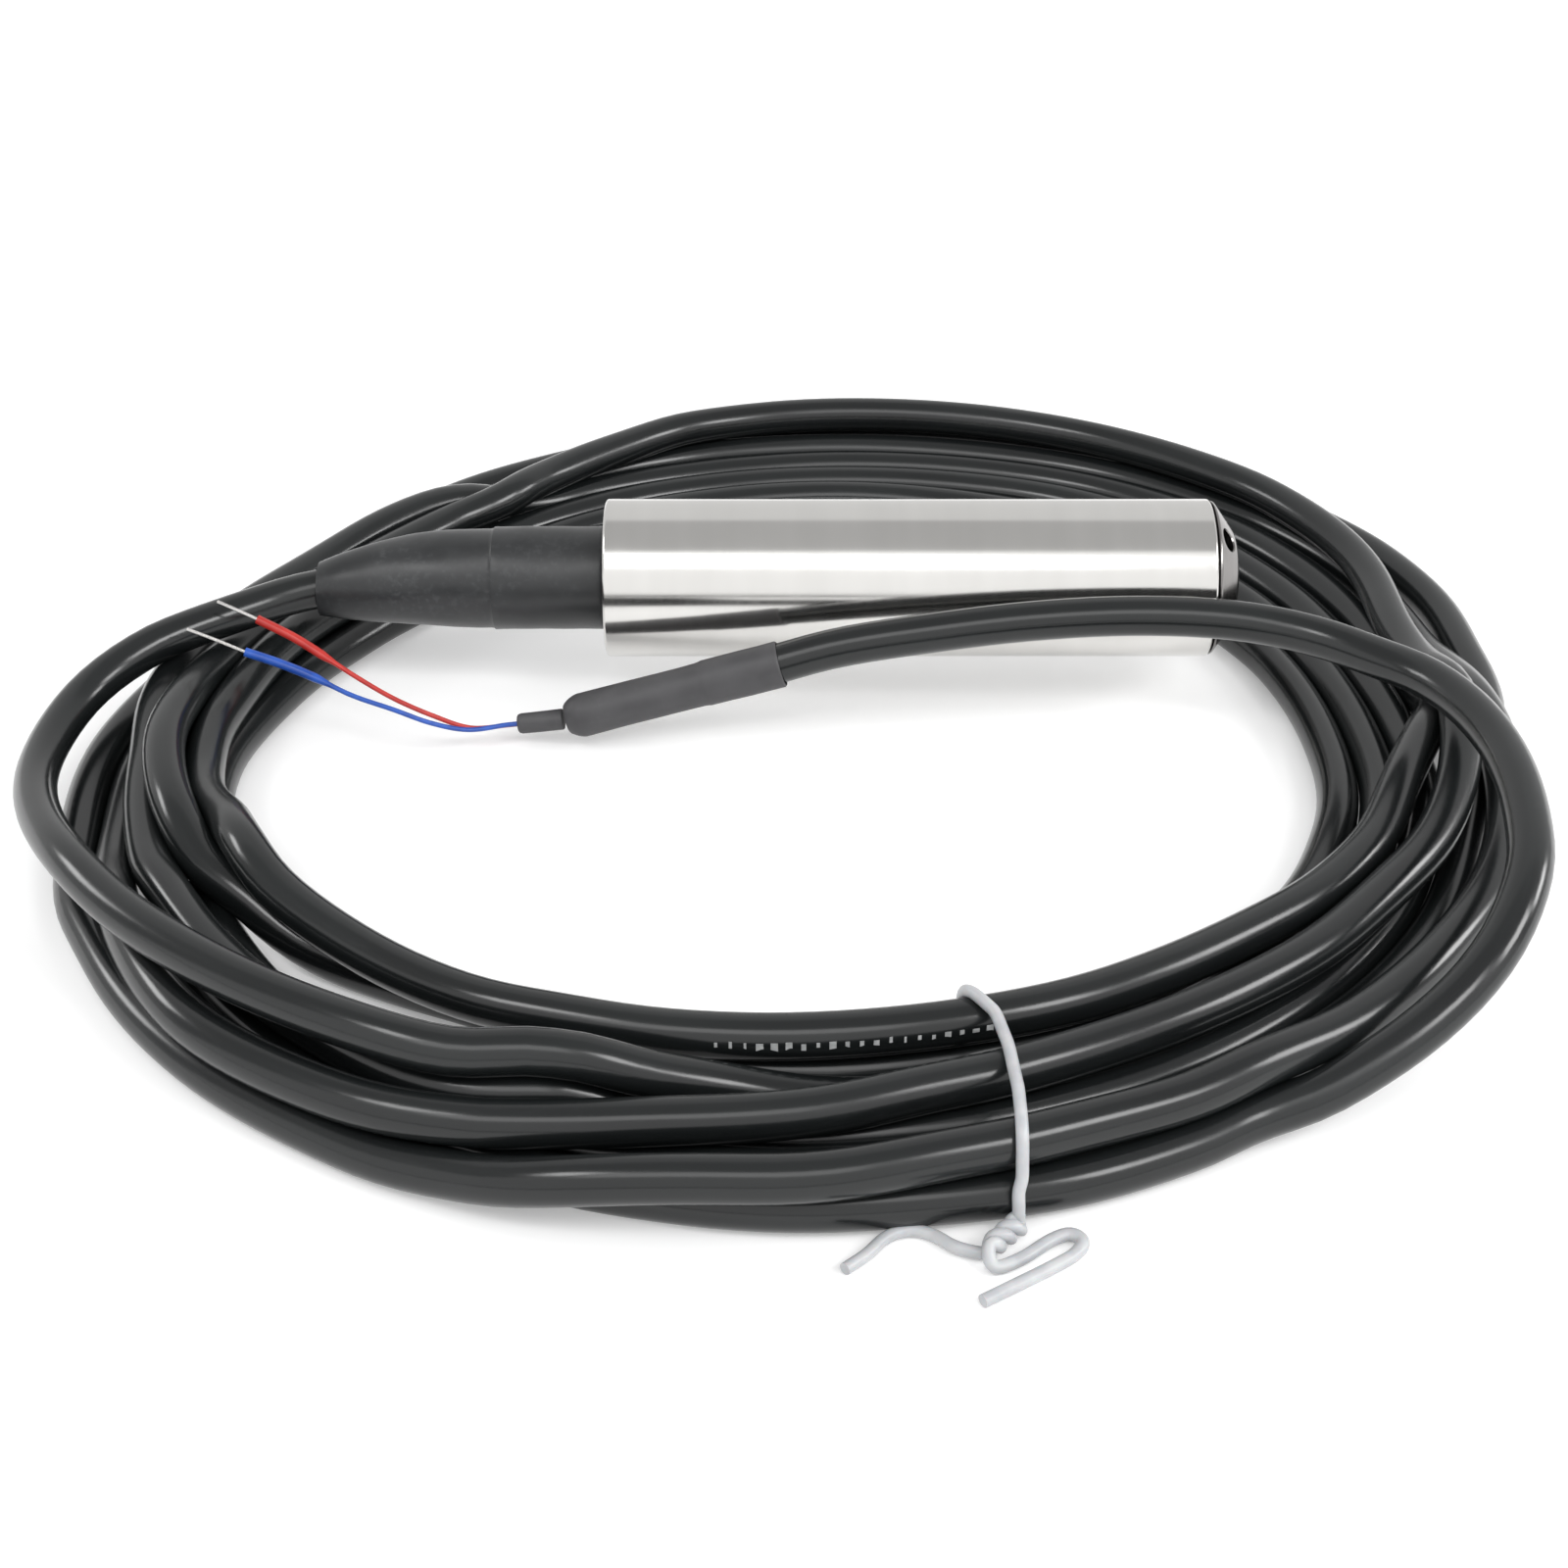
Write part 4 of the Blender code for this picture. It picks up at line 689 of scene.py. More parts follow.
@dataclass
class CableRun(Part):
    """The one cable: out of the sleeve, seven turns as a flat loose coil, and back to its far end.

    Each pass is read from the photograph as angle in degrees, radius and height above the floor in
    millimetres, about the coil's centre. A pass starts in front and goes once round.
    """

    diameter: float = 7.4
    centre: tuple[float, float] = (-80.0, -29.0)
    spacing: float = 3.7
    low: float = 3.7
    boot_inside: float = 35.2
    # settling: its rounds, after how many close points are sought again, the lengths at both ends that
    # stay, and how strongly it evens bends, returns to the read route and pushes turns apart
    rounds: int = 260
    look_again: int = 15
    held_start: float = 9.0
    held_end: float = 330.0
    stiffness: float = 0.35
    memory: float = 0.06
    firmness: float = 1.1
    # points that may touch: how close they are, how many along the cable are left out at each side, and
    # how far along it two may lie from being side by side
    near: float = 14.0
    neighbours: int = 9
    beside: float = 2.4
    # keeping off the probe: the gap to it, where its body ends and the x range that it fills
    clearance: float = 0.2
    body_end: float = -121.0
    probe_span: tuple[float, float] = (-173.0, 2.0)
    lead_in: Route = (
        (-174.1, -1.0, -1.8), (-179.6, -2.6, -2.4), (-185.8, -6.2, -3.0), (-193.4, -11.2, -3.5),
        (-200.5, -16.6, -4.3), (-207.3, -22.4, -5.8), (-212.8, -30.0, -7.8), (-215.7, -40.6, -9.2),
        (-216.2, -51.4, -9.4), (-214.6, -61.6, -8.6), (-210.0, -74.6, -6.6), (-200.8, -91.6, -3.6),
        (-192.2, -102.6, -3.5), (-184.3, -110.6, -3.5), (-170.1, -122.2, -3.5), (-153.5, -132.6, -3.5),
        (-135.4, -139.8, -4.4))
    lead_out: Route = (
        (-76.5, -23.0, -2.7), (-58.6, -22.6, 0.4), (-40.6, -21.8, 2.4), (-22.6, -21.2, 3.2),
        (-6.5, -22.2, 3.2), (3.8, -24.6, 2.9), (12.1, -28.8, 2.7), (19.7, -35.2, 2.7), (27.2, -43.7, 3.3),
        (31.8, -54.1, 3.8), (34.3, -66.5, 4.1), (34.7, -79.0, 4.1), (33.7, -90.8, 3.5), (31.8, -100.8, 2.4),
        (28.4, -109.2, 0.4), (24.0, -116.4, -2.4), (18.4, -122.4, -5.6), (11.0, -128.0, -9.2),
        (2.6, -132.6, -12.7), (-5.8, -136.2, -15.6), (-15.9, -139.3, -17.6))
    passes: tuple[Route, ...] = (
        # innermost on the floor in front, middle of the bundle elsewhere
        ((250, 118, 14.5), (257, 112.5, 10), (264, 109, 6.5), (272, 107, 4.5), (285, 105, 0),
         (300, 104.6, 0), (315, 104.6, 0), (330, 104.2, 0), (345, 103.2, 0), (355, 102.4, 0),
         (363, 101.7, 0), (373, 101.4, 0), (382, 101.8, 0), (390, 102.8, 0), (405, 104.2, 0),
         (420, 104.6, 0), (442, 103.1, 0), (460, 101.5, 0), (480, 99.2, 0), (510, 96.7, 0), (525, 101.8, 0),
         (540, 107.5, 0), (550, 109.5, 0), (570, 115.2, 0), (585, 118, 0), (600, 119.9, 0)),
        # outermost on the floor
        ((255, 120.3, 0), (270, 120.9, 0), (285, 120, 0), (300, 119, 0), (315, 117.8, 0), (330, 117, 0),
         (340, 117.6, 0), (350, 120.2, 0), (358, 123.4, 0), (366, 127.2, 0), (371, 129.8, 0), (378, 134, 0),
         (383, 136.9, 0), (389, 139, 0), (394, 140.3, 0), (405, 141, 0), (420, 139.5, 0), (435, 137, 0),
         (450, 134.5, 0), (465, 132.5, 0), (480, 129, 0), (495, 124.5, 0), (510, 119.5, 0), (525, 122.5, 0),
         (540, 128, 0), (555, 131.7, 0), (570, 134.8, 0), (585, 135.4, 0), (600, 134.5, 0)),
        # outer strand of the second layer in front
        ((247, 133.5, 5), (255, 132, 7.5), (263, 131, 9.8), (270, 130.3, 10.8), (280, 126.5, 10.8),
         (285, 125.3, 10.8), (300, 125, 10.8), (315, 125, 10.8), (330, 125, 10.8), (340, 124.6, 10.6),
         (350, 123.6, 10.6), (358, 122.8, 10.6), (364, 122.6, 9.2), (370, 123, 6.4), (376, 124.2, 0),
         (382, 126.5, 0), (390, 130, 0), (398, 131.8, 0), (405, 132.6, 0), (420, 131.6, 0), (435, 129, 0),
         (450, 127.1, 0), (465, 125, 0), (480, 121.6, 0), (495, 116.5, 0), (510, 111.5, 0), (525, 115, 0),
         (540, 121.2, 0), (550, 124.2, 0), (560, 127, 6), (570, 130.8, 9.8), (585, 135, 11),
         (600, 132.5, 11)),
        # top strand all the way round
        ((247, 128.5, 11), (252, 125, 11), (262, 119.2, 11), (270, 116, 11), (279, 111.8, 11),
         (285, 110.5, 11), (300, 108.7, 11), (315, 109.5, 11), (325, 110.3, 11), (336, 113.2, 11.3),
         (344, 114.9, 12.8), (351, 115.8, 14.9), (357, 115.6, 15.6), (363, 114.9, 14.2), (369, 115, 12.1),
         (375, 116.6, 11.2), (379, 119, 11), (384, 122.8, 11), (389, 126.2, 11), (394, 128.7, 11),
         (399, 130.6, 11), (405, 132.2, 11), (420, 133.4, 11), (435, 132.8, 11), (450, 130.3, 11),
         (463, 125.5, 11), (470, 120, 11), (476, 115.5, 11.2), (484, 110.8, 10.6), (494, 107.8, 10.2),
         (510, 107.8, 10.2), (525, 111.8, 10.4), (532, 113.2, 11.2), (540, 114.6, 13.6), (546, 115.8, 15.5),
         (552, 116.6, 16.4), (560, 116.5, 15.6), (567, 114.9, 11.8), (573, 110.5, 8.2), (579, 106, 4.4),
         (584, 102.9, 0), (590, 99.9, 0), (596, 97.4, 0), (605, 97, 0)),
        # marked strand, low under the inner edge in front
        ((255, 97.3, 0), (262, 97.8, 0), (270, 98.2, 0), (285, 97.2, 0), (300, 97, 0), (315, 96.8, 0),
         (330, 96.8, 0), (345, 96.2, 0), (353, 95.2, 0), (363, 94.2, 0), (374, 93.8, 0), (382, 93.8, 0),
         (405, 95.5, 0), (420, 96.5, 0), (441, 95.6, 0), (460, 93.8, 0), (480, 92, 4.2), (495, 94, 7.5),
         (510, 99.8, 9.8), (525, 104.6, 10.3), (540, 108.3, 10.5), (553, 110.2, 11.2), (560, 110.3, 13.2),
         (567, 110, 15.4), (573, 109.4, 15.6), (580, 107.8, 13.8), (590, 105.4, 11.6), (600, 103.8, 11.1)),
        # inner strand of the second layer in front
        ((246, 101.9, 11.1), (254, 100.7, 11.1), (260, 99.7, 11.1), (267, 98.8, 11.1), (275, 97.9, 11.1),
         (284, 97.5, 11.1), (294, 97.8, 11.1), (305, 98.1, 11.1), (315, 99.4, 11), (323, 101.7, 11),
         (334, 104.2, 11), (341, 104.9, 11.2), (348, 106.6, 11.2), (353, 109.2, 10.9), (358, 112.4, 9.4),
         (363, 115.1, 6.8), (368, 116.3, 4.5), (374, 116.8, 0), (380, 118, 0), (386, 119.6, 0),
         (393, 121.6, 0), (405, 124, 0), (420, 123.2, 0), (435, 120.5, 0), (450, 118, 0), (465, 115.5, 0),
         (474, 115.2, 0), (482, 115, 4.5), (489, 115.3, 8.5), (495, 115.4, 10.8), (503, 115.3, 10.6),
         (510, 115.6, 10.2), (525, 118.8, 10.2), (540, 119.8, 10.6), (552, 119.8, 10.2), (560, 121.3, 10),
         (567, 122, 10), (580, 122.6, 10.2), (600, 123.4, 10.2)),
        # hidden strand in the middle of the lower layer
        ((247, 121, 9), (255, 116.8, 6), (263, 114.2, 4.2), (270, 113.3, 0), (285, 112.5, 0),
         (300, 111.8, 0), (315, 111.6, 0), (330, 111.2, 0), (345, 110.4, 0), (355, 109.7, 0), (363, 109, 0),
         (373, 109, 0), (382, 110, 0), (390, 111.8, 0), (405, 114.6, 0), (420, 114.8, 0), (435, 112.2, 0),
         (450, 110, 0), (465, 108.5, 0), (480, 106.4, 0), (495, 104.3, 0), (510, 104.1, 0), (525, 108.5, 0),
         (540, 114.6, 0), (550, 116.9, 0), (570, 122.4, 0), (585, 126.2, 0), (600, 127.1, 0)),
        # last quarter turn, on the floor outside, before it climbs away as the far end
        ((255, 127, 0), (263, 128, 0), (270, 128.3, 0), (285, 128.3, 0), (295, 127.8, 4.0)))

    def knots(self) -> np.ndarray:
        """Returns the whole route's knots in millimetres, from the sleeve to the far end."""
        points: list[Sequence[float]] = list(self.lead_in)
        for turn in self.passes:
            for angle, radius, height in turn:
                a = math.radians(angle)
                points.append((self.centre[0] + radius * math.cos(a), self.centre[1] + radius * math.sin(a),
                               FLOOR_Z + max(height, self.low)))
        points += list(reversed(self.lead_out))
        boot = Vector(FarEnd.right_end)
        along = Vector(FarEnd.direction).normalized()
        points += [tuple(boot + along * share) for share in (6.0, 20.0, self.boot_inside)]
        return np.array(points, float)

    def lay(self) -> np.ndarray:
        """Settles the route so that its turns lie beside and on each other, a diameter apart.

        Returns:
            The path's points in millimetres.
        """
        path = smooth_path(self.knots(), self.spacing)
        target = path.copy()
        along = distances(path)
        free = (along > self.held_start) & (along < along[-1] - self.held_end)
        for step in range(self.rounds):
            if step % self.look_again == 0:
                pairs = self._near_pairs(path)
            stiff = path.copy()
            stiff[2:-2] = (-path[:-4] + 4 * path[1:-3] + 4 * path[3:-1] - path[4:]) / 6
            path[free] += self.stiffness * (stiff - path)[free]
            path[free] += self.memory * (target - path)[free]
            for _ in range(2):
                path[free] += self.firmness * self._push_apart(path, pairs)[free]
                path[free, 2] = np.maximum(path[free, 2], FLOOR_Z + self.low)
                self._clear_probe(path, free)
        return path

    def _near_pairs(self, path: np.ndarray) -> np.ndarray:
        """Returns index pairs of points that lie close to each other but not along the cable."""
        found, block = [], 200
        for start in range(0, len(path), block):
            apart = np.linalg.norm(path[start:start + block, None] - path[None], axis=2)
            first, second = np.nonzero(apart < self.near)
            keep = np.abs(first + start - second) > self.neighbours
            found.append(np.stack([first[keep] + start, second[keep]], axis=1))
        return np.vstack(found)

    def _push_apart(self, path: np.ndarray, pairs: np.ndarray) -> np.ndarray:
        """Returns the mean move that brings touching stretches a diameter apart.

        Args:
            path: the cable's points.
            pairs: the index pairs to look at.

        Returns:
            One move for each point.
        """
        apart = self.diameter + 0.05
        tangent = unit_tangents(path)
        first, second = pairs[:, 0], pairs[:, 1]
        between = path[second] - path[first]
        along = (between * tangent[second]).sum(axis=1)
        across = between - along[:, None] * tangent[second]
        size = np.maximum(np.linalg.norm(across, axis=1), 1e-6)
        hit = (np.abs(along) < self.beside) & (size < apart)
        push = across[hit] / size[hit, None] * (apart - size[hit])[:, None] * 0.5
        move, count = np.zeros_like(path), np.zeros(len(path))
        for index, share in ((first[hit], -push), (second[hit], push)):
            np.add.at(move, index, share)
            np.add.at(count, index, 1)
        return move / np.maximum(count, 1)[:, None]

    def _clear_probe(self, path: np.ndarray, free: np.ndarray) -> None:
        """Keeps the free stretches off the steel body and the sleeve.

        Args:
            path: the cable's points, changed in place.
            free: which points may move.
        """
        share = np.clip((Probe.sleeve_front - path[:, 0]) / Probe.sleeve_length, 0.0, 1.0)
        middle = np.stack([-Probe.swing * share ** 2, -Probe.droop * share ** 2], axis=1)
        radius = np.where(path[:, 0] <= self.body_end, Probe.sleeve_radius, Probe.radius)
        reach = radius + self.diameter / 2 + self.clearance
        inside = free & (path[:, 0] > self.probe_span[0]) & (path[:, 0] < self.probe_span[1])
        off = path[:, 1:] - middle
        distance = np.linalg.norm(off, axis=1)
        low = inside & (distance < reach)
        path[low, 1:] = middle[low] + off[low] / distance[low, None] * reach[low, None]

    def build(self) -> tuple[bpy.types.Object, np.ndarray]:
        """Builds the cable's mesh.

        Returns:
            The cable and its path in millimetres.
        """
        path = self.lay()
        mesh = swept_mesh("cable", path, self.diameter / 2, sides=24)
        return self.add("cable", mesh, Slot.CABLE,
                         ("cable_lead_in", "cable_coil", "cable_lead_out"), 60.0), path


# ---------------------------------------------------------------- geometry node trees


def geometry_tree(name: str, inputs: dict[str, tuple[str, object]]) -> Tree:
    """Starts a Geometry Nodes tree that reads and gives geometry, with more named inputs."""
    shape = "NodeSocketGeometry"
    return Tree.group(name, "GeometryNodeTree", {"Geometry": (shape, None), **inputs}, {"Geometry": shape})


def run_tree(name: str, path: np.ndarray, tree: Tree, values: dict[str, object]) -> bpy.types.Mesh:
    """Runs a Geometry Nodes tree on a path and returns the plain mesh.

    Args:
        name: a name for the curve that carries the path.
        path: the path's points in millimetres.
        tree: the tree to run.
        values: what to set on its named inputs.

    Returns:
        The evaluated mesh.
    """
    curve = bpy.data.curves.new(name, "CURVE")
    curve.dimensions = "3D"
    spline = curve.splines.new("POLY")
    spline.points.add(len(path) - 1)
    spline.points.foreach_set("co", np.hstack([path * MM, np.ones((len(path), 1))]).ravel())
    carrier = linked(name, curve)
    modifier = carrier.modifiers.new("tree", "NODES")
    modifier.node_group = tree.tree
    for item in tree.tree.interface.items_tree:
        if item.item_type == "SOCKET" and item.in_out == "INPUT" and item.name in values:
            modifier[item.identifier] = values[item.name]
    return plain_mesh(carrier)


def finish_tree(tree: Tree, shape: bpy.types.NodeSocket, material: str) -> Tree:
    """Ends a tree in Realize Instances and Set Material.

    Args:
        tree: the tree.
        shape: what it made.
        material: the name of the input that holds its material.

    Returns:
        The same tree.
    """
    real = tree.add("GeometryNodeRealizeInstances", {0: shape})
    dressed = tree.add("GeometryNodeSetMaterial", {"Geometry": real.outputs[0],
                                                   "Material": tree.source[material]})
    tree.feed(tree.target, {"Geometry": dressed.outputs[0]})
    return tree


def marking_tree() -> Tree:
    """Makes the tree that sets short printed dashes along a path on the cable's skin."""
    tree = geometry_tree("printed_marks", {
        "Pitch": (FLOAT, 2.1 * MM), "Length": (FLOAT, 0.6 * MM), "Height": (FLOAT, 2.2 * MM),
        "Thickness": (FLOAT, 0.03 * MM), "Seed": ("NodeSocketInt", 7), "Ink": ("NodeSocketMaterial", None)})
    read = tree.source
    points = tree.add("GeometryNodeCurveToPoints", {"Curve": read["Geometry"], "Length": read["Pitch"]},
                      mode="LENGTH").outputs
    size = tree.add("ShaderNodeCombineXYZ", {"X": read["Thickness"], "Y": read["Height"],
                                             "Z": read["Length"]})
    dash = tree.add("GeometryNodeMeshCube", {"Size": size.outputs[0]})
    least, most = (1.0, 0.45, 0.5), (1.0, 1.0, 2.0)
    vary = tree.add("FunctionNodeRandomValue", {0: least, 1: most, "Seed": read["Seed"]},
                    data_type="FLOAT_VECTOR")
    copies = tree.add("GeometryNodeInstanceOnPoints", {
        "Points": points["Points"], "Instance": dash.outputs["Mesh"], "Rotation": points["Rotation"],
        "Scale": vary.outputs[0]})
    return finish_tree(tree, copies.outputs[0], "Ink")


def stranded_tree() -> Tree:
    """Makes the tree that lays a bundle of twisted fine strands along a path."""
    tree = geometry_tree("stranded_core", {
        "Radius": (FLOAT, 0.2 * MM), "Strand": (FLOAT, 0.11 * MM), "Strands": ("NodeSocketInt", 7),
        "Twist": (FLOAT, 900.0), "Metal": ("NodeSocketMaterial", None)})
    read = tree.source
    along = tree.add("GeometryNodeSplineParameter").outputs["Length"]
    ring, wire = (
        tree.add("GeometryNodeCurvePrimitiveCircle", {"Radius": radius, "Resolution": points}, mode="RADIUS")
        for radius, points in ((read["Radius"], read["Strands"]), (read["Strand"], 8)))
    holes = tree.add("GeometryNodeCurveToPoints", {"Curve": ring.outputs["Curve"]}, mode="EVALUATED")
    sections = tree.add("GeometryNodeInstanceOnPoints", {"Points": holes.outputs["Points"],
                                                         "Instance": wire.outputs["Curve"]})
    bundle = tree.add("GeometryNodeRealizeInstances", {0: sections.outputs[0]})
    tilt = tree.add("GeometryNodeSetCurveTilt", {"Curve": read["Geometry"],
                                                 "Tilt": tree.math("MULTIPLY", along, read["Twist"])})
    skin = tree.add("GeometryNodeCurveToMesh", {
        "Curve": tilt.outputs["Curve"], "Profile Curve": bundle.outputs[0], "Fill Caps": True})
    return finish_tree(tree, skin.outputs["Mesh"], "Metal")


@dataclass
class CableMarks(Part):
    """The short neutral dashes on the cable's skin, where it carries its marking."""

    first_angle: float = 260.0
    last_angle: float = 285.0
    start_angle: float = 163.0
    turn: int = 5
    lean: Triple = (0.0, -0.985, 0.17)

    def build(self, run: CableRun, path: np.ndarray) -> bpy.types.Object:
        """Builds the dashes as one piece on the cable's skin.

        Args:
            run: the cable.
            path: the cable's path in millimetres.

        Returns:
            The piece.
        """
        angle = np.degrees(np.unwrap(np.arctan2(path[:, 1] - run.centre[1], path[:, 0] - run.centre[0])))
        angle += 360.0 * round((self.start_angle - angle[0]) / 360.0)
        goal = 360.0 * self.turn
        stretch = path[(angle >= self.first_angle + goal) & (angle <= self.last_angle + goal)]
        tangents = unit_tangents(stretch)
        lean = np.asarray(self.lean)
        out = lean - tangents * (tangents @ lean)[:, None]
        out /= np.linalg.norm(out, axis=1)[:, None]
        skin = stretch + out * (run.diameter / 2 - 0.01)
        mesh = run_tree("marking_path", smooth_path(skin, 1.0), marking_tree(), {"Ink": self.finishes.ink})
        return self.add("cable_marks", mesh, Slot.CABLE)


# ---------------------------------------------------------------- the probe


@dataclass
class Probe(Part):
    """The steel body, its ported nose and the shrunk sleeve at its rear."""

    radius: float = 15.0
    wall: float = 2.2
    front: float = -4.8
    rear: float = -119.3
    edge: float = 0.4
    nose_cone: float = 4.5
    nose_base: float = 14.7
    nose_tip: float = 8.8
    nose_cavity: float = 9.0
    nose_seat: float = 12.5
    nose_back: float = -16.5
    nose_wall: float = 2.4
    port: float = 2.2
    port_first: float = 116.0
    ports: int = 4
    sleeve_front: float = -119.6
    sleeve_length: float = 54.5
    sleeve_radius: float = 9.8
    sleeve_mouth: float = 5.2
    sleeve_step: float = 21.0
    sleeve_bore: float = 8.7
    sleeve_neck: float = -144.5
    droop: float = 1.8
    swing: float = 1.0

    def housing(self) -> bpy.types.Object:
        """Builds the body tube with broken, slightly rounded edges.

        Returns:
            The piece.
        """
        inner, chamfered = self.radius - self.wall, self.radius - self.edge
        outline = [(self.front, inner), (self.front, chamfered), (self.front - self.edge, self.radius),
                   (self.rear + self.edge, self.radius), (self.rear, chamfered), (self.rear, inner)]
        mesh = turned_mesh("housing", rounded(outline, 0.15), 160)
        return self.add("housing", mesh, Slot.HOUSING, ("housing_tube",), 50.0)

    def _two_metals(self, mesh: bpy.types.Mesh) -> bpy.types.Object:
        """Gives a shape the nose's steel and, for the bores, a darker steel that is painted shade, and links
        it.

        Args:
            mesh: the nose or a drill.

        Returns:
            The new object.
        """
        for material in (self.finishes.of(Slot.NOSE), self.finishes.bore_painted_shade):
            mesh.materials.append(material)
        return linked(mesh.name, mesh)

    def nose(self) -> bpy.types.Object:
        """Builds the tapered nose and drills its pressure ports.

        Returns:
            The piece.
        """
        slope = (self.nose_base - self.nose_tip) / self.nose_cone
        edge = 0.45
        outline = [(0.0, 0.0), (0.0, self.nose_tip - edge), (-edge, self.nose_tip + edge * slope),
                   (-self.nose_cone + edge, self.nose_base - edge / 2), (-self.nose_cone, self.nose_base),
                   (-self.nose_cone, self.nose_seat), (self.nose_back, self.nose_seat),
                   (self.nose_back, self.nose_cavity), (-self.nose_wall, self.nose_cavity),
                   (-self.nose_wall, 0.0)]
        blank = self._two_metals(turned_mesh("nose_blank", rounded(outline, 0.3), 160))
        drills = [self._drill(index) for index in range(self.ports)]
        for drill in drills:
            cut = blank.modifiers.new("port", "BOOLEAN")
            cut.operation = "DIFFERENCE"
            cut.solver = "EXACT"
            cut.object = drill
        drilled = plain_mesh(blank)
        for drill in drills:
            bpy.data.objects.remove(drill, do_unlink=True)
        return self.add("nose", drilled, Slot.NOSE, ("nose_cap",), 30.0)

    def _drill(self, index: int) -> bpy.types.Object:
        """Builds one port's drill with a small countersink at the cone.

        Args:
            index: the port's number.

        Returns:
            The drill, square to the cone.
        """
        angle = math.radians(self.port_first + 360.0 * index / self.ports)
        radial = Vector((0.0, math.cos(angle), math.sin(angle)))
        slant = Vector((self.nose_base - self.nose_tip, self.nose_cone)).normalized()
        direction = radial * slant.y + Vector((slant.x, 0.0, 0.0))
        surface = Vector((-self.nose_cone / 2, 0.0, 0.0)) + radial * (self.nose_base + self.nose_tip) / 2
        rim, outside, depth = 0.22, 3.0, 6.4
        outline = [(outside, 0.0), (outside, self.port + rim), (0.02, self.port + rim), (-rim, self.port),
                   (-depth, self.port), (-depth, 0.0)]
        mesh = turned_mesh("drill_%d" % index, outline, 48)
        drill = self._two_metals(mesh)
        turn = direction.to_track_quat("X", "Z").to_matrix()
        for vertex in mesh.vertices:
            vertex.co = turn @ vertex.co + surface * MM
        # faces inside the bore take the darker steel, as painted shade
        for face in mesh.polygons:
            inside = (face.center / MM - surface).dot(direction) < -rim * 0.9
            face.material_index = 1 if inside else 0
        return drill

    def bent(self, x: float) -> Vector:
        """Returns how far the sleeve's axis lies from the probe's axis at x."""
        run = max(0.0, (self.sleeve_neck - x) / (self.sleeve_neck - (self.sleeve_front - self.sleeve_length)))
        return Vector((0.0, -self.swing, -self.droop)) * run ** 2

    def sleeve(self) -> bpy.types.Object:
        """Builds the shrunk sleeve with its overlap step, soft waves and drawn-down mouth.

        Returns:
            The piece.
        """
        front, outer, bore = self.sleeve_front, self.sleeve_radius, 4.0
        rear = front - self.sleeve_length
        step = front - self.sleeve_step
        lip, fall, taper, rows = 0.7, 0.8, outer - 0.35, 30
        outline = [(front, self.sleeve_bore), (front, outer - 0.5), (front - 0.2, outer - 0.15),
                   (front - lip, outer)]
        outline += [(front - lip + (step - front + lip) * share, outer - 0.05 * math.sin(share * 9.0) ** 2)
                    for share in (index / 14 for index in range(1, 14))]
        outline += [(step + 0.15, outer), (step, outer - 0.06), (step - 0.25, outer - 0.30),
                    (step - fall, outer - 0.36)]
        for share in (index / rows for index in range(1, rows + 1)):
            radius = self.sleeve_mouth + (taper - self.sleeve_mouth) * (1 - share ** 2.1)
            outline.append((step - fall + (rear - step + fall) * share,
                            radius - 0.06 * math.sin(share * 14.0) ** 2 * share))
        outline += [(rear, self.sleeve_mouth - 0.35), (rear + 0.5, bore)]
        outline += [(self.sleeve_neck + (rear + 0.5 - self.sleeve_neck) * share, bore)
                    for share in (0.8, 0.6, 0.4, 0.2, 0.0)]
        outline.append((self.sleeve_neck, self.sleeve_bore))

        def wave(x: float, radius: float, around: float) -> float:
            """Returns the outer skin's unevenness."""
            if radius < bore + 0.2 or (radius <= self.sleeve_bore + 0.1 and x >= step):
                return 0.0
            return 0.07 * math.sin(3 * around + x * 0.21) + 0.04 * math.sin(5 * around - x * 0.34)

        mesh = turned_mesh("sleeve", outline, 96)
        warp(mesh, wave, lambda point, x: point + self.bent(x) * MM)
        return self.add("sleeve", mesh, Slot.SLEEVE, ("rear_sleeve",), 50.0)


# ---------------------------------------------------------------- the cable's far end


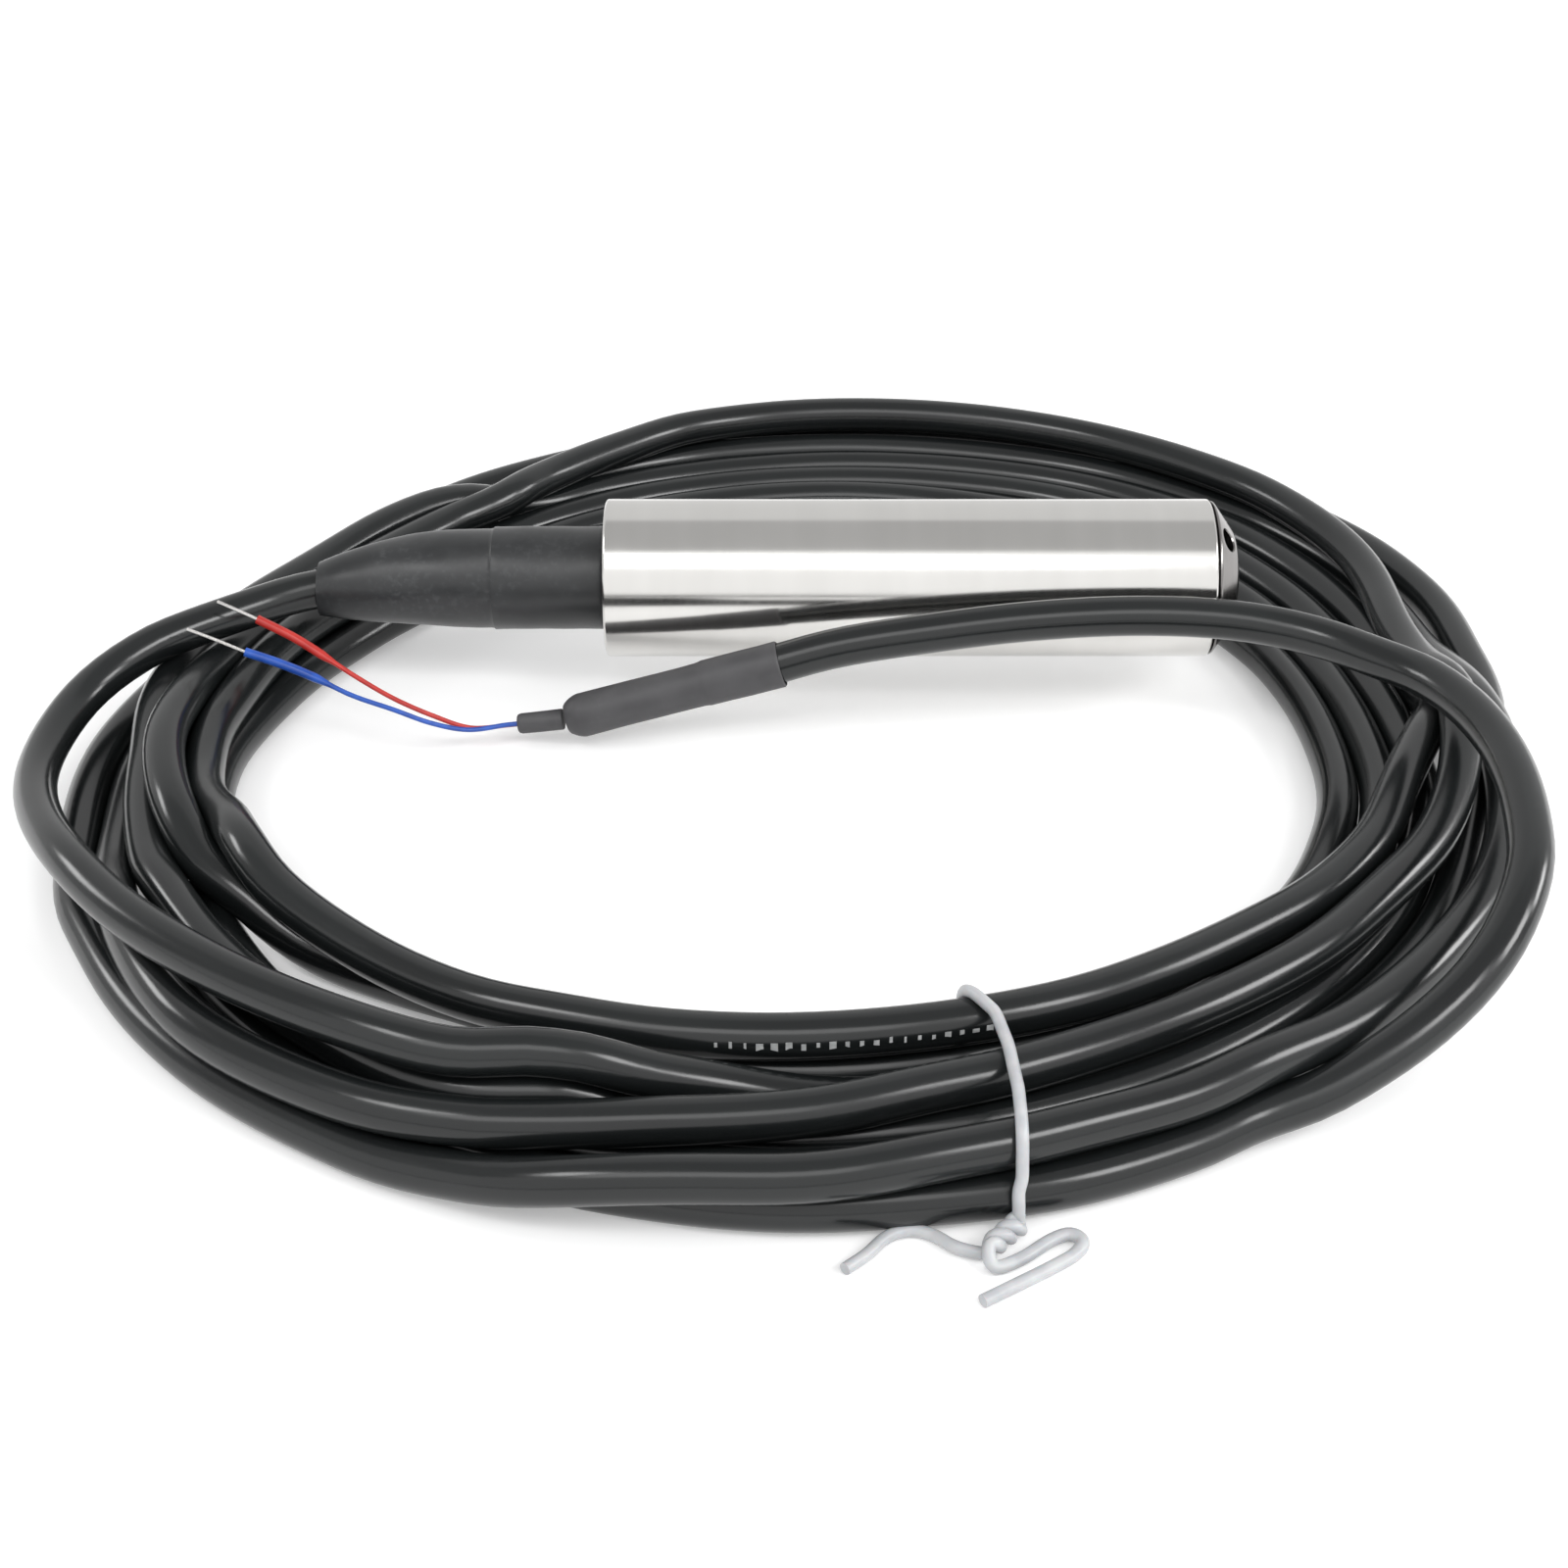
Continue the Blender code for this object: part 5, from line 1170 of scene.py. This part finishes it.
@dataclass
class FarEnd(Part):
    """The shrunk boot and collar on the cable's far end, and the two cores with tinned tips."""

    right_end: Triple = (-86.0, -23.8, -5.4)
    direction: Triple = (-41.0, -0.8, -11.6)
    length: float = 41.5
    radius: float = 4.3
    tip: float = 2.6
    taper: float = 3.4
    wall: float = 6.0
    bore: float = 4.0
    collar_direction: Triple = (-7.2, 0.2, -1.0)
    collar_radius: float = 1.95
    collar_length: float = 8.6
    core: float = 1.4
    core_radii: Profile = ((0.0, 0.46), (0.68, 0.46), (0.74, 0.86), (1.0, 0.86))
    red_route: Route = (
        (-143.8, -26.4, -17.6), (-150.6, -27.6, -14.2), (-157.6, -27.4, -10.6), (-164.2, -25.6, -7.2),
        (-169.6, -23.0, -4.8), (-176.3, -19.2, -2.4), (-183.1, -17.0, 0.2))
    red_tip: Route = (
        (-187.0, -15.6, 1.4), (-190.9, -13.6, 2.1))
    blue_route: Route = (
        (-144.0, -27.8, -17.2), (-150.4, -29.8, -14.6), (-157.2, -31.0, -10.9), (-164.4, -30.6, -8.2),
        (-171.5, -28.4, -5.6), (-178.0, -26.4, -3.8), (-184.1, -25.6, -1.9))
    blue_tip: Route = (
        (-190.4, -24.0, 0.1), (-194.9, -22.6, 1.2))

    @staticmethod
    def _lay(mesh: bpy.types.Mesh, start: Vector, direction: Sequence[float], waves: float) -> None:
        """Turns a shape so that -X runs along a direction from a start, with shrunk unevenness.

        Args:
            mesh: the turned shape about the X axis, changed in place.
            start: where X = 0 goes, in millimetres.
            direction: where -X points.
            waves: how uneven the outside is, in millimetres.
        """
        turn = (-Vector(direction)).to_track_quat("X", "Z").to_matrix()

        def wave(x: float, radius: float, around: float) -> float:
            """Returns the outside's unevenness; the end faces' middles stay."""
            if radius <= 0.5:
                return 0.0
            return waves * (math.sin(2 * around + x * 0.16) + 0.6 * math.sin(3 * around - x * 0.37))

        warp(mesh, wave, lambda point, _: turn @ point + start * MM)

    def boot(self) -> bpy.types.Object:
        """Builds the boot with its overlapped second layer and soft shoulder.

        Returns:
            The piece.
        """
        slim = self.radius - 0.2
        shoulder, back, overlap = self.taper - self.length, self.wall - self.length, 15.6
        outline = [(back, 0.0), (back, self.bore), (0.0, self.bore), (0.0, self.radius - 0.25),
                   (-0.3, self.radius)]
        outline += [(-14.0 * share, self.radius - 0.04 * math.sin(share * 7) ** 2)
                    for share in (0.25, 0.5, 0.75, 1.0)]
        outline += [(-14.5, self.radius - 0.02), (-14.9, self.radius - 0.12), (-overlap, slim)]
        outline += [(-overlap + (shoulder + overlap) * share, slim - 0.05 * math.sin(share * 9) ** 2)
                    for share in (0.2, 0.4, 0.6, 0.8, 0.97)]
        outline += [(shoulder - self.taper * share,
                     self.tip + (slim - self.tip) * math.cos(share * math.pi / 2) ** 0.8)
                    for share in (0.15, 0.3, 0.45, 0.6, 0.75, 0.9)]
        outline += [(-self.length + 0.02, self.tip), (-self.length, self.tip - 0.2), (-self.length, 0.0)]
        mesh = turned_mesh("boot", outline, 64)
        self._lay(mesh, Vector(self.right_end), self.direction, 0.05)
        return self.add("boot", mesh, Slot.BOOT, ("end_boot",), 40.0)

    def collar_start(self) -> Vector:
        """Returns where the collar begins, just beyond the boot."""
        along = Vector(self.direction).normalized()
        onwards = Vector(self.collar_direction).normalized()
        gap = 0.3 + self.tip * along.angle(onwards)
        return Vector(self.right_end) + along * self.length + onwards * gap

    def collar(self) -> bpy.types.Object:
        """Builds the narrow shrunk collar that holds the two cores.

        Returns:
            The piece.
        """
        end, radius = -self.collar_length, self.collar_radius
        outline = [(0.0, 0.0), (0.0, radius - 0.15), (-0.2, radius)]
        outline += [(end * share, radius - 0.06 * share) for share in (0.25, 0.5, 0.75, 0.92)]
        outline += [(end + 0.15, radius - 0.25), (end, radius - 0.5), (end, 0.0)]
        mesh = turned_mesh("collar", outline, 48)
        self._lay(mesh, self.collar_start(), self.collar_direction, 0.03)
        return self.add("collar", mesh, Slot.BOOT, ("end_collar",), 40.0)

    def cores(self) -> list[tuple[bpy.types.Object, bpy.types.Object, np.ndarray]]:
        """Builds the red and the blue core with their bare, tinned strands.

        Returns:
            For each core the insulated piece, the bare tip and the path in millimetres.
        """
        onwards = Vector(self.collar_direction).normalized()
        start = self.collar_start() + onwards * (self.collar_length + 0.3)
        apart = Vector((0.0, 0.846, -0.533)) * 0.85
        tree = stranded_tree()
        places, radii = np.array(self.core_radii).T
        made = []
        for name, side, route, tip_route, slot in (
                ("red", 1, self.red_route, self.red_tip, Slot.RED),
                ("blue", -1, self.blue_route, self.blue_tip, Slot.BLUE)):
            first = start + apart * side
            path = smooth_path(np.array([first - onwards * 0.25, first + onwards * 2.0, *route]), 0.8)
            radius = np.interp(np.linspace(0, 1, len(path)), places, radii)
            mesh = swept_mesh(name + "_core_lead", path, radius)
            core = self.add(mesh.name, mesh, slot, (name + "_wire",), 50.0)
            end = Vector(route[-1])
            outwards = (Vector(tip_route[0]) - end).normalized()
            bare = smooth_path(np.array([end - outwards * 0.2, *tip_route]), 0.25)
            strands = run_tree(name + "_strand_path", bare, tree, {"Metal": self.finishes.of(Slot.TINNED)})
            tip = self.add(name + "_bare_strands", strands, Slot.TINNED, (name + "_wire_tip",), 60.0)
            made.append((core, tip, path))
        return made


# ---------------------------------------------------------------- the tie


def convex_hull(cloud: np.ndarray) -> np.ndarray:
    """Finds the convex hull of points in a plane.

    Args:
        cloud: the points.

    Returns:
        The hull's corners, anticlockwise.
    """
    cloud = cloud[np.lexsort((cloud[:, 1], cloud[:, 0]))]

    def half(points: np.ndarray) -> list[np.ndarray]:
        """Returns one side of the hull."""
        chain: list[np.ndarray] = []
        for point in points:
            while len(chain) > 1:
                a, b = chain[-1] - chain[-2], point - chain[-1]
                if a[0] * b[1] - a[1] * b[0] > 0:
                    break
                chain.pop()
            chain.append(point)
        return chain[:-1]

    return np.array(half(cloud) + half(cloud[::-1]))


@dataclass
class TwistTie(Part):
    """The white coated tie: a loop round the turns, a twisted knot and two tails."""

    angle: float = 283.5
    half_width: float = 1.05
    half_thickness: float = 0.95
    sway: Profile = ((95.0, 0.2), (102.0, 2.5), (110.0, 2.0), (120.0, 0.3), (128.0, -1.7), (136.0, -3.5))
    loop_spacing: float = 1.2
    least_reach: float = 60.0
    top: float = 15.0
    twists: float = 1.5
    knot_length: float = 7.0
    knot_radius: float = 1.05
    knot_height: float = 2.3
    knot_direction: Triple = (-0.66, -0.75, 0.0)
    short_tail: Route = (
        (-61.2, -163.4, -21.0), (-64.0, -160.7, -21.3), (-67.3, -159.4, -21.3), (-70.9, -160.9, -21.3),
        (-73.8, -164.5, -21.3), (-77.0, -167.5, -21.3))
    long_tail: Route = (
        (-56.4, -167.4, -21.0), (-52.4, -165.6, -21.3), (-47.6, -161.6, -21.3), (-44.6, -160.2, -21.3),
        (-43.0, -161.8, -21.3), (-44.4, -164.4, -21.3), (-47.6, -166.9, -21.3), (-52.8, -170.4, -21.3),
        (-58.1, -173.9, -21.3))

    def _loop(self, run: CableRun, path: np.ndarray) -> np.ndarray:
        """Wraps the turns that cross the tie's plane, as a tight band does.

        Args:
            run: the cable.
            path: the cable's path in millimetres.

        Returns:
            The loop's points in millimetres, from low outside, over the top and back below.
        """
        turn = math.radians(self.angle)
        radial = np.array([math.cos(turn), math.sin(turn)])
        sideways = np.array([-radial[1], radial[0]])
        offset = path[:, :2] - np.asarray(run.centre)
        side, reach = offset @ sideways, offset @ radial
        cross = np.nonzero((side[:-1] * side[1:] <= 0) & (reach[:-1] > self.least_reach))[0]
        share = side[cross] / (side[cross] - side[cross + 1])
        r = reach[cross] + (reach[cross + 1] - reach[cross]) * share
        z = path[cross, 2] + (path[cross + 1, 2] - path[cross, 2]) * share
        keep = z < FLOOR_Z + self.top
        grow = run.diameter / 2 + self.half_thickness
        round_points = 2 * np.pi * np.arange(32) / 32
        circle = grow * np.stack([np.cos(round_points), np.sin(round_points)], axis=1)
        cloud = np.concatenate([centre + circle for centre in np.stack([r[keep], z[keep]], axis=1)])
        cloud[:, 1] = np.maximum(cloud[:, 1], FLOOR_Z + self.half_thickness)
        hull = convex_hull(cloud)
        closed = np.vstack([hull, hull[:1]])
        hull = resampled(closed, np.arange(0.0, distances(closed)[-1], self.loop_spacing))
        start = int(np.argmax(hull[:, 0] - 0.8 * (hull[:, 1] - FLOOR_Z)))
        hull = np.roll(hull, -start, axis=0)
        reach, lean = np.array(self.sway).T
        above = hull[:, 1] > hull[:, 1].mean()
        below = np.interp(hull[:, 0], reach[[0, -1]], lean[[0, -1]])
        aside = np.where(above, np.interp(hull[:, 0], reach, lean), below)
        flat = np.asarray(run.centre) + hull[:, :1] * radial + aside[:, None] * sideways
        return np.column_stack([flat, hull[:, 1]])

    def build(self, run: CableRun, path: np.ndarray) -> bpy.types.Object:
        """Builds the whole tie as one bent cord.

        Args:
            run: the cable.
            path: the cable's path in millimetres.

        Returns:
            The piece.
        """
        loop = [Vector(point) for point in self._loop(run, path)[1:-1]]
        turn = math.radians(self.angle)
        knot = (loop[0] + loop[-1]) / 2 + Vector((math.cos(turn), math.sin(turn), 0.0)) * 1.6
        knot.z = FLOOR_Z + self.knot_height
        along = Vector(self.knot_direction).normalized()
        sideways = Vector((-along.y, along.x, 0.0))

        def strand(phase: float) -> list[Vector]:
            """Returns one of the two strands of the knot."""
            points = []
            for share in (index / 12 for index in range(13)):
                spin = 2 * math.pi * self.twists * share + phase
                middle = knot + along * self.knot_length * share
                points.append(middle + sideways * self.knot_radius * math.cos(spin)
                              + Vector((0, 0, self.knot_radius * math.sin(spin))))
            return points

        first, second = strand(math.pi / 2), strand(-math.pi / 2)
        knots = np.array([*self.long_tail[::-1], *second[::-1], *loop, *first, *self.short_tail])
        keep = np.concatenate([[True], np.linalg.norm(np.diff(knots, axis=0), axis=1) > 0.35])
        soft = smooth_path(knots[keep], 0.6)
        for _ in range(3):
            soft[1:-1] = (soft[:-2] + 2 * soft[1:-1] + soft[2:]) / 4
        soft[:, 2] = np.maximum(soft[:, 2], FLOOR_Z + self.half_width)
        mesh = swept_mesh("twist_tie", soft, self.half_width, self.half_thickness, sides=16)
        return self.add("twist_tie", mesh, Slot.TIE, ("cable_tie",), 60.0)


# ---------------------------------------------------------------- inside pieces, stage and camera


INNER_PIECES: dict[Slot, tuple[str, ...]] = {
    Slot.INNER: ("sensor_carrier", "sensor_cell", "cell_header", "vent_capillary", "rear_cap", "gland_nut"),
    Slot.NOSE: ("sensor_diaphragm",),
    Slot.BRASS: ("cell_retainer", "zero_trimmer_screw", "span_trimmer_screw", "clamp_washer"),
    Slot.RUBBER: ("cell_o_ring", "rear_o_ring", "seal_bush"),
    Slot.LINER: ("insulating_liner",),
    Slot.NYLON: ("board_holder_front", "board_holder_rear"),
    Slot.BOARD: ("circuit_board",),
    Slot.CHIP: ("amplifier_chip", "loop_driver_chip", "sensor_lead_4"),
    Slot.TINNED: ("filter_capacitor", "terminal_screw_1", "terminal_screw_2"),
    Slot.TRIMMER: ("zero_trimmer", "span_trimmer"),
    Slot.CERAMIC: ("surge_arrester",),
    Slot.TERMINAL: ("terminal_block",),
    Slot.SLEEVE: ("cable_jacket_end",),
    Slot.RED: ("red_core", "sensor_lead_1"),
    Slot.BLUE: ("blue_core", "sensor_lead_2"),
    Slot.VENT: ("vent_tube", "sensor_lead_3")}


def dress_inner_pieces(nodes: dict[str, bpy.types.Object], finishes: Finishes) -> None:
    """Gives the CAD nodes that stay as they are their finer materials.

    Args:
        nodes: the CAD objects by name.
        finishes: the object's materials.
    """
    for slot, names in INNER_PIECES.items():
        for node in (nodes[name] for name in names):
            if not node.material_slots:
                node.data.materials.append(finishes.of(slot))
            for place in node.material_slots:
                place.material = finishes.of(slot)
    LOG.info("%d inner pieces dressed", sum(map(len, INNER_PIECES.values())))


@dataclass
class Studio:
    """The pale floor, the soft light, the surround that the metal reflects, and the camera."""

    camera_place: Triple = (-0.0855, -0.4330, 0.2261)
    camera_drop: float = 32.2
    lens: float = 58.5
    floor_size: float = 6.0
    floor_shade: float = 0.80
    floor_lift: float = 0.26
    aim: Triple = (-0.08, -0.03, -0.01)
    lamps: tuple = (
        # name, place, width and height, power
        ("softbox", (-0.16, -0.62, 0.78), (0.75, 0.32), 1.5),
        ("right_front", (0.40, -0.47, 0.58), (0.20, 0.24), 1.5),
        ("right_side", (0.63, -0.19, 0.43), (0.26, 0.22), 1.9),
        ("right_back", (0.70, 0.09, 0.26), (0.22, 0.16), 1.2),
        ("left_front", (-0.505, -0.37, 0.69), (0.18, 0.18), 0.9),
        ("left_back", (-0.80, 0.16, 0.33), (0.24, 0.15), 0.9))
    # degrees up from the front horizon, over the top and down behind, and how bright it is there
    surround: Profile = ((-180, 0.95), (-12, 0.10), (1, 0.10), (4, 1.22), (64, 1.22), (68, 0.54),
                         (117, 0.54), (122, 0.82), (180, 0.82))

    def camera(self) -> None:
        """Sets the camera at the photograph's viewing angle."""
        data = bpy.data.cameras.new("camera")
        data.lens = self.lens
        data.sensor_width = 36.0
        data.clip_start = 0.01
        data.clip_end = 50.0
        camera = linked("camera", data)
        camera.location = self.camera_place
        camera.rotation_euler = (math.radians(90.0 - self.camera_drop), 0.0, 0.0)
        bpy.context.scene.camera = camera

    def floor(self) -> None:
        """Builds the pale floor, which turns white in view and keeps the object's soft shadow."""
        half, level = self.floor_size / 2, FLOOR_Z * MM
        mesh = bpy.data.meshes.new("floor")
        mesh.from_pydata([(-half, -half, level), (half, -half, level), (half, half, level),
                          (-half, half, level)], [], [(0, 1, 2, 3)])
        material = bpy.data.materials.new("pale_floor")
        tree = Tree.empty(material)
        # the lift is for rays that see the background: straight, reflected or through glass
        rays = tree.add("ShaderNodeLightPath").outputs
        seen = tree.math("ADD", rays["Is Camera Ray"], rays["Is Glossy Ray"])
        shown = tree.add("ShaderNodeMath", {0: seen, 1: rays["Is Transmission Ray"]}, operation="ADD",
                         use_clamp=True).outputs[0]
        diffuse = tree.add("ShaderNodeBsdfDiffuse", {"Color": (*[self.floor_shade] * 3, 1.0)})
        lift = tree.add("ShaderNodeEmission", {"Strength": tree.math("MULTIPLY", shown, self.floor_lift)})
        both = tree.add("ShaderNodeAddShader", {0: diffuse.outputs[0], 1: lift.outputs[0]})
        tree.add("ShaderNodeOutputMaterial", {"Surface": both.outputs[0]})
        mesh.materials.append(material)
        linked("floor", mesh)

    def world(self) -> None:
        """Makes the surround: white to the camera, soft panels with a dark front horizon for the rest."""
        world = bpy.data.worlds.new("studio")
        tree = Tree.empty(world)
        view = tree.add("ShaderNodeTexCoord").outputs["Generated"]
        parts = tree.add("ShaderNodeSeparateXYZ", {0: view}).outputs
        angle = tree.math("ARCTAN2", parts["Z"], tree.math("MULTIPLY", parts["Y"], -1.0))
        ramp = tree.add("ShaderNodeValToRGB", {"Fac": tree.spread(angle, -math.pi, math.pi)})
        stops = ramp.color_ramp.elements
        while len(stops) < len(self.surround):
            stops.new(0.5)
        for stop, (degrees, level) in zip(stops, self.surround):
            stop.position = (degrees + 180.0) / 360.0
            stop.color = (level, level, level, 1.0)
        around = tree.add("ShaderNodeBackground", {"Color": ramp.outputs["Color"]})
        plain = tree.add("ShaderNodeBackground", {"Color": (1.0, 1.0, 1.0, 1.0)})
        mix = tree.add("ShaderNodeMixShader", {
            "Fac": tree.add("ShaderNodeLightPath").outputs["Is Camera Ray"], 1: around.outputs[0],
            2: plain.outputs[0]})
        tree.add("ShaderNodeOutputWorld", {"Surface": mix.outputs[0]})
        bpy.context.scene.world = world

    def light(self) -> None:
        """Hangs the soft lamps, all turned to the object's middle."""
        for name, place, size, power in self.lamps:
            data = bpy.data.lights.new(name, "AREA")
            data.shape = "RECTANGLE"
            data.size, data.size_y = size
            data.energy = power
            lamp = linked(name, data)
            lamp.location = place
            lamp.rotation_euler = (Vector(self.aim) - Vector(place)).to_track_quat("-Z", "Y").to_euler()

    def build(self) -> None:
        """Sets the whole studio."""
        self.camera()
        self.floor()
        self.world()
        self.light()
        bpy.context.scene.view_settings.view_transform = "Standard"


def main() -> None:
    """Builds the object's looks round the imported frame."""
    logging.basicConfig(level=logging.INFO, format="%(name)s: %(message)s")
    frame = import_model()
    finishes = Finishes()
    Studio().build()
    run = CableRun(finishes)
    cable, path = run.build()
    marks = CableMarks(finishes).build(run, path)
    probe = Probe(finishes)
    for build in (probe.housing, probe.nose, probe.sleeve):
        build()
    end = FarEnd(finishes)
    boot, collar = end.boot(), end.collar()
    cores = end.cores()
    TwistTie(finishes).build(run, path)
    dress_inner_pieces(frame["nodes"], finishes)


if __name__ == "__main__":
    main()
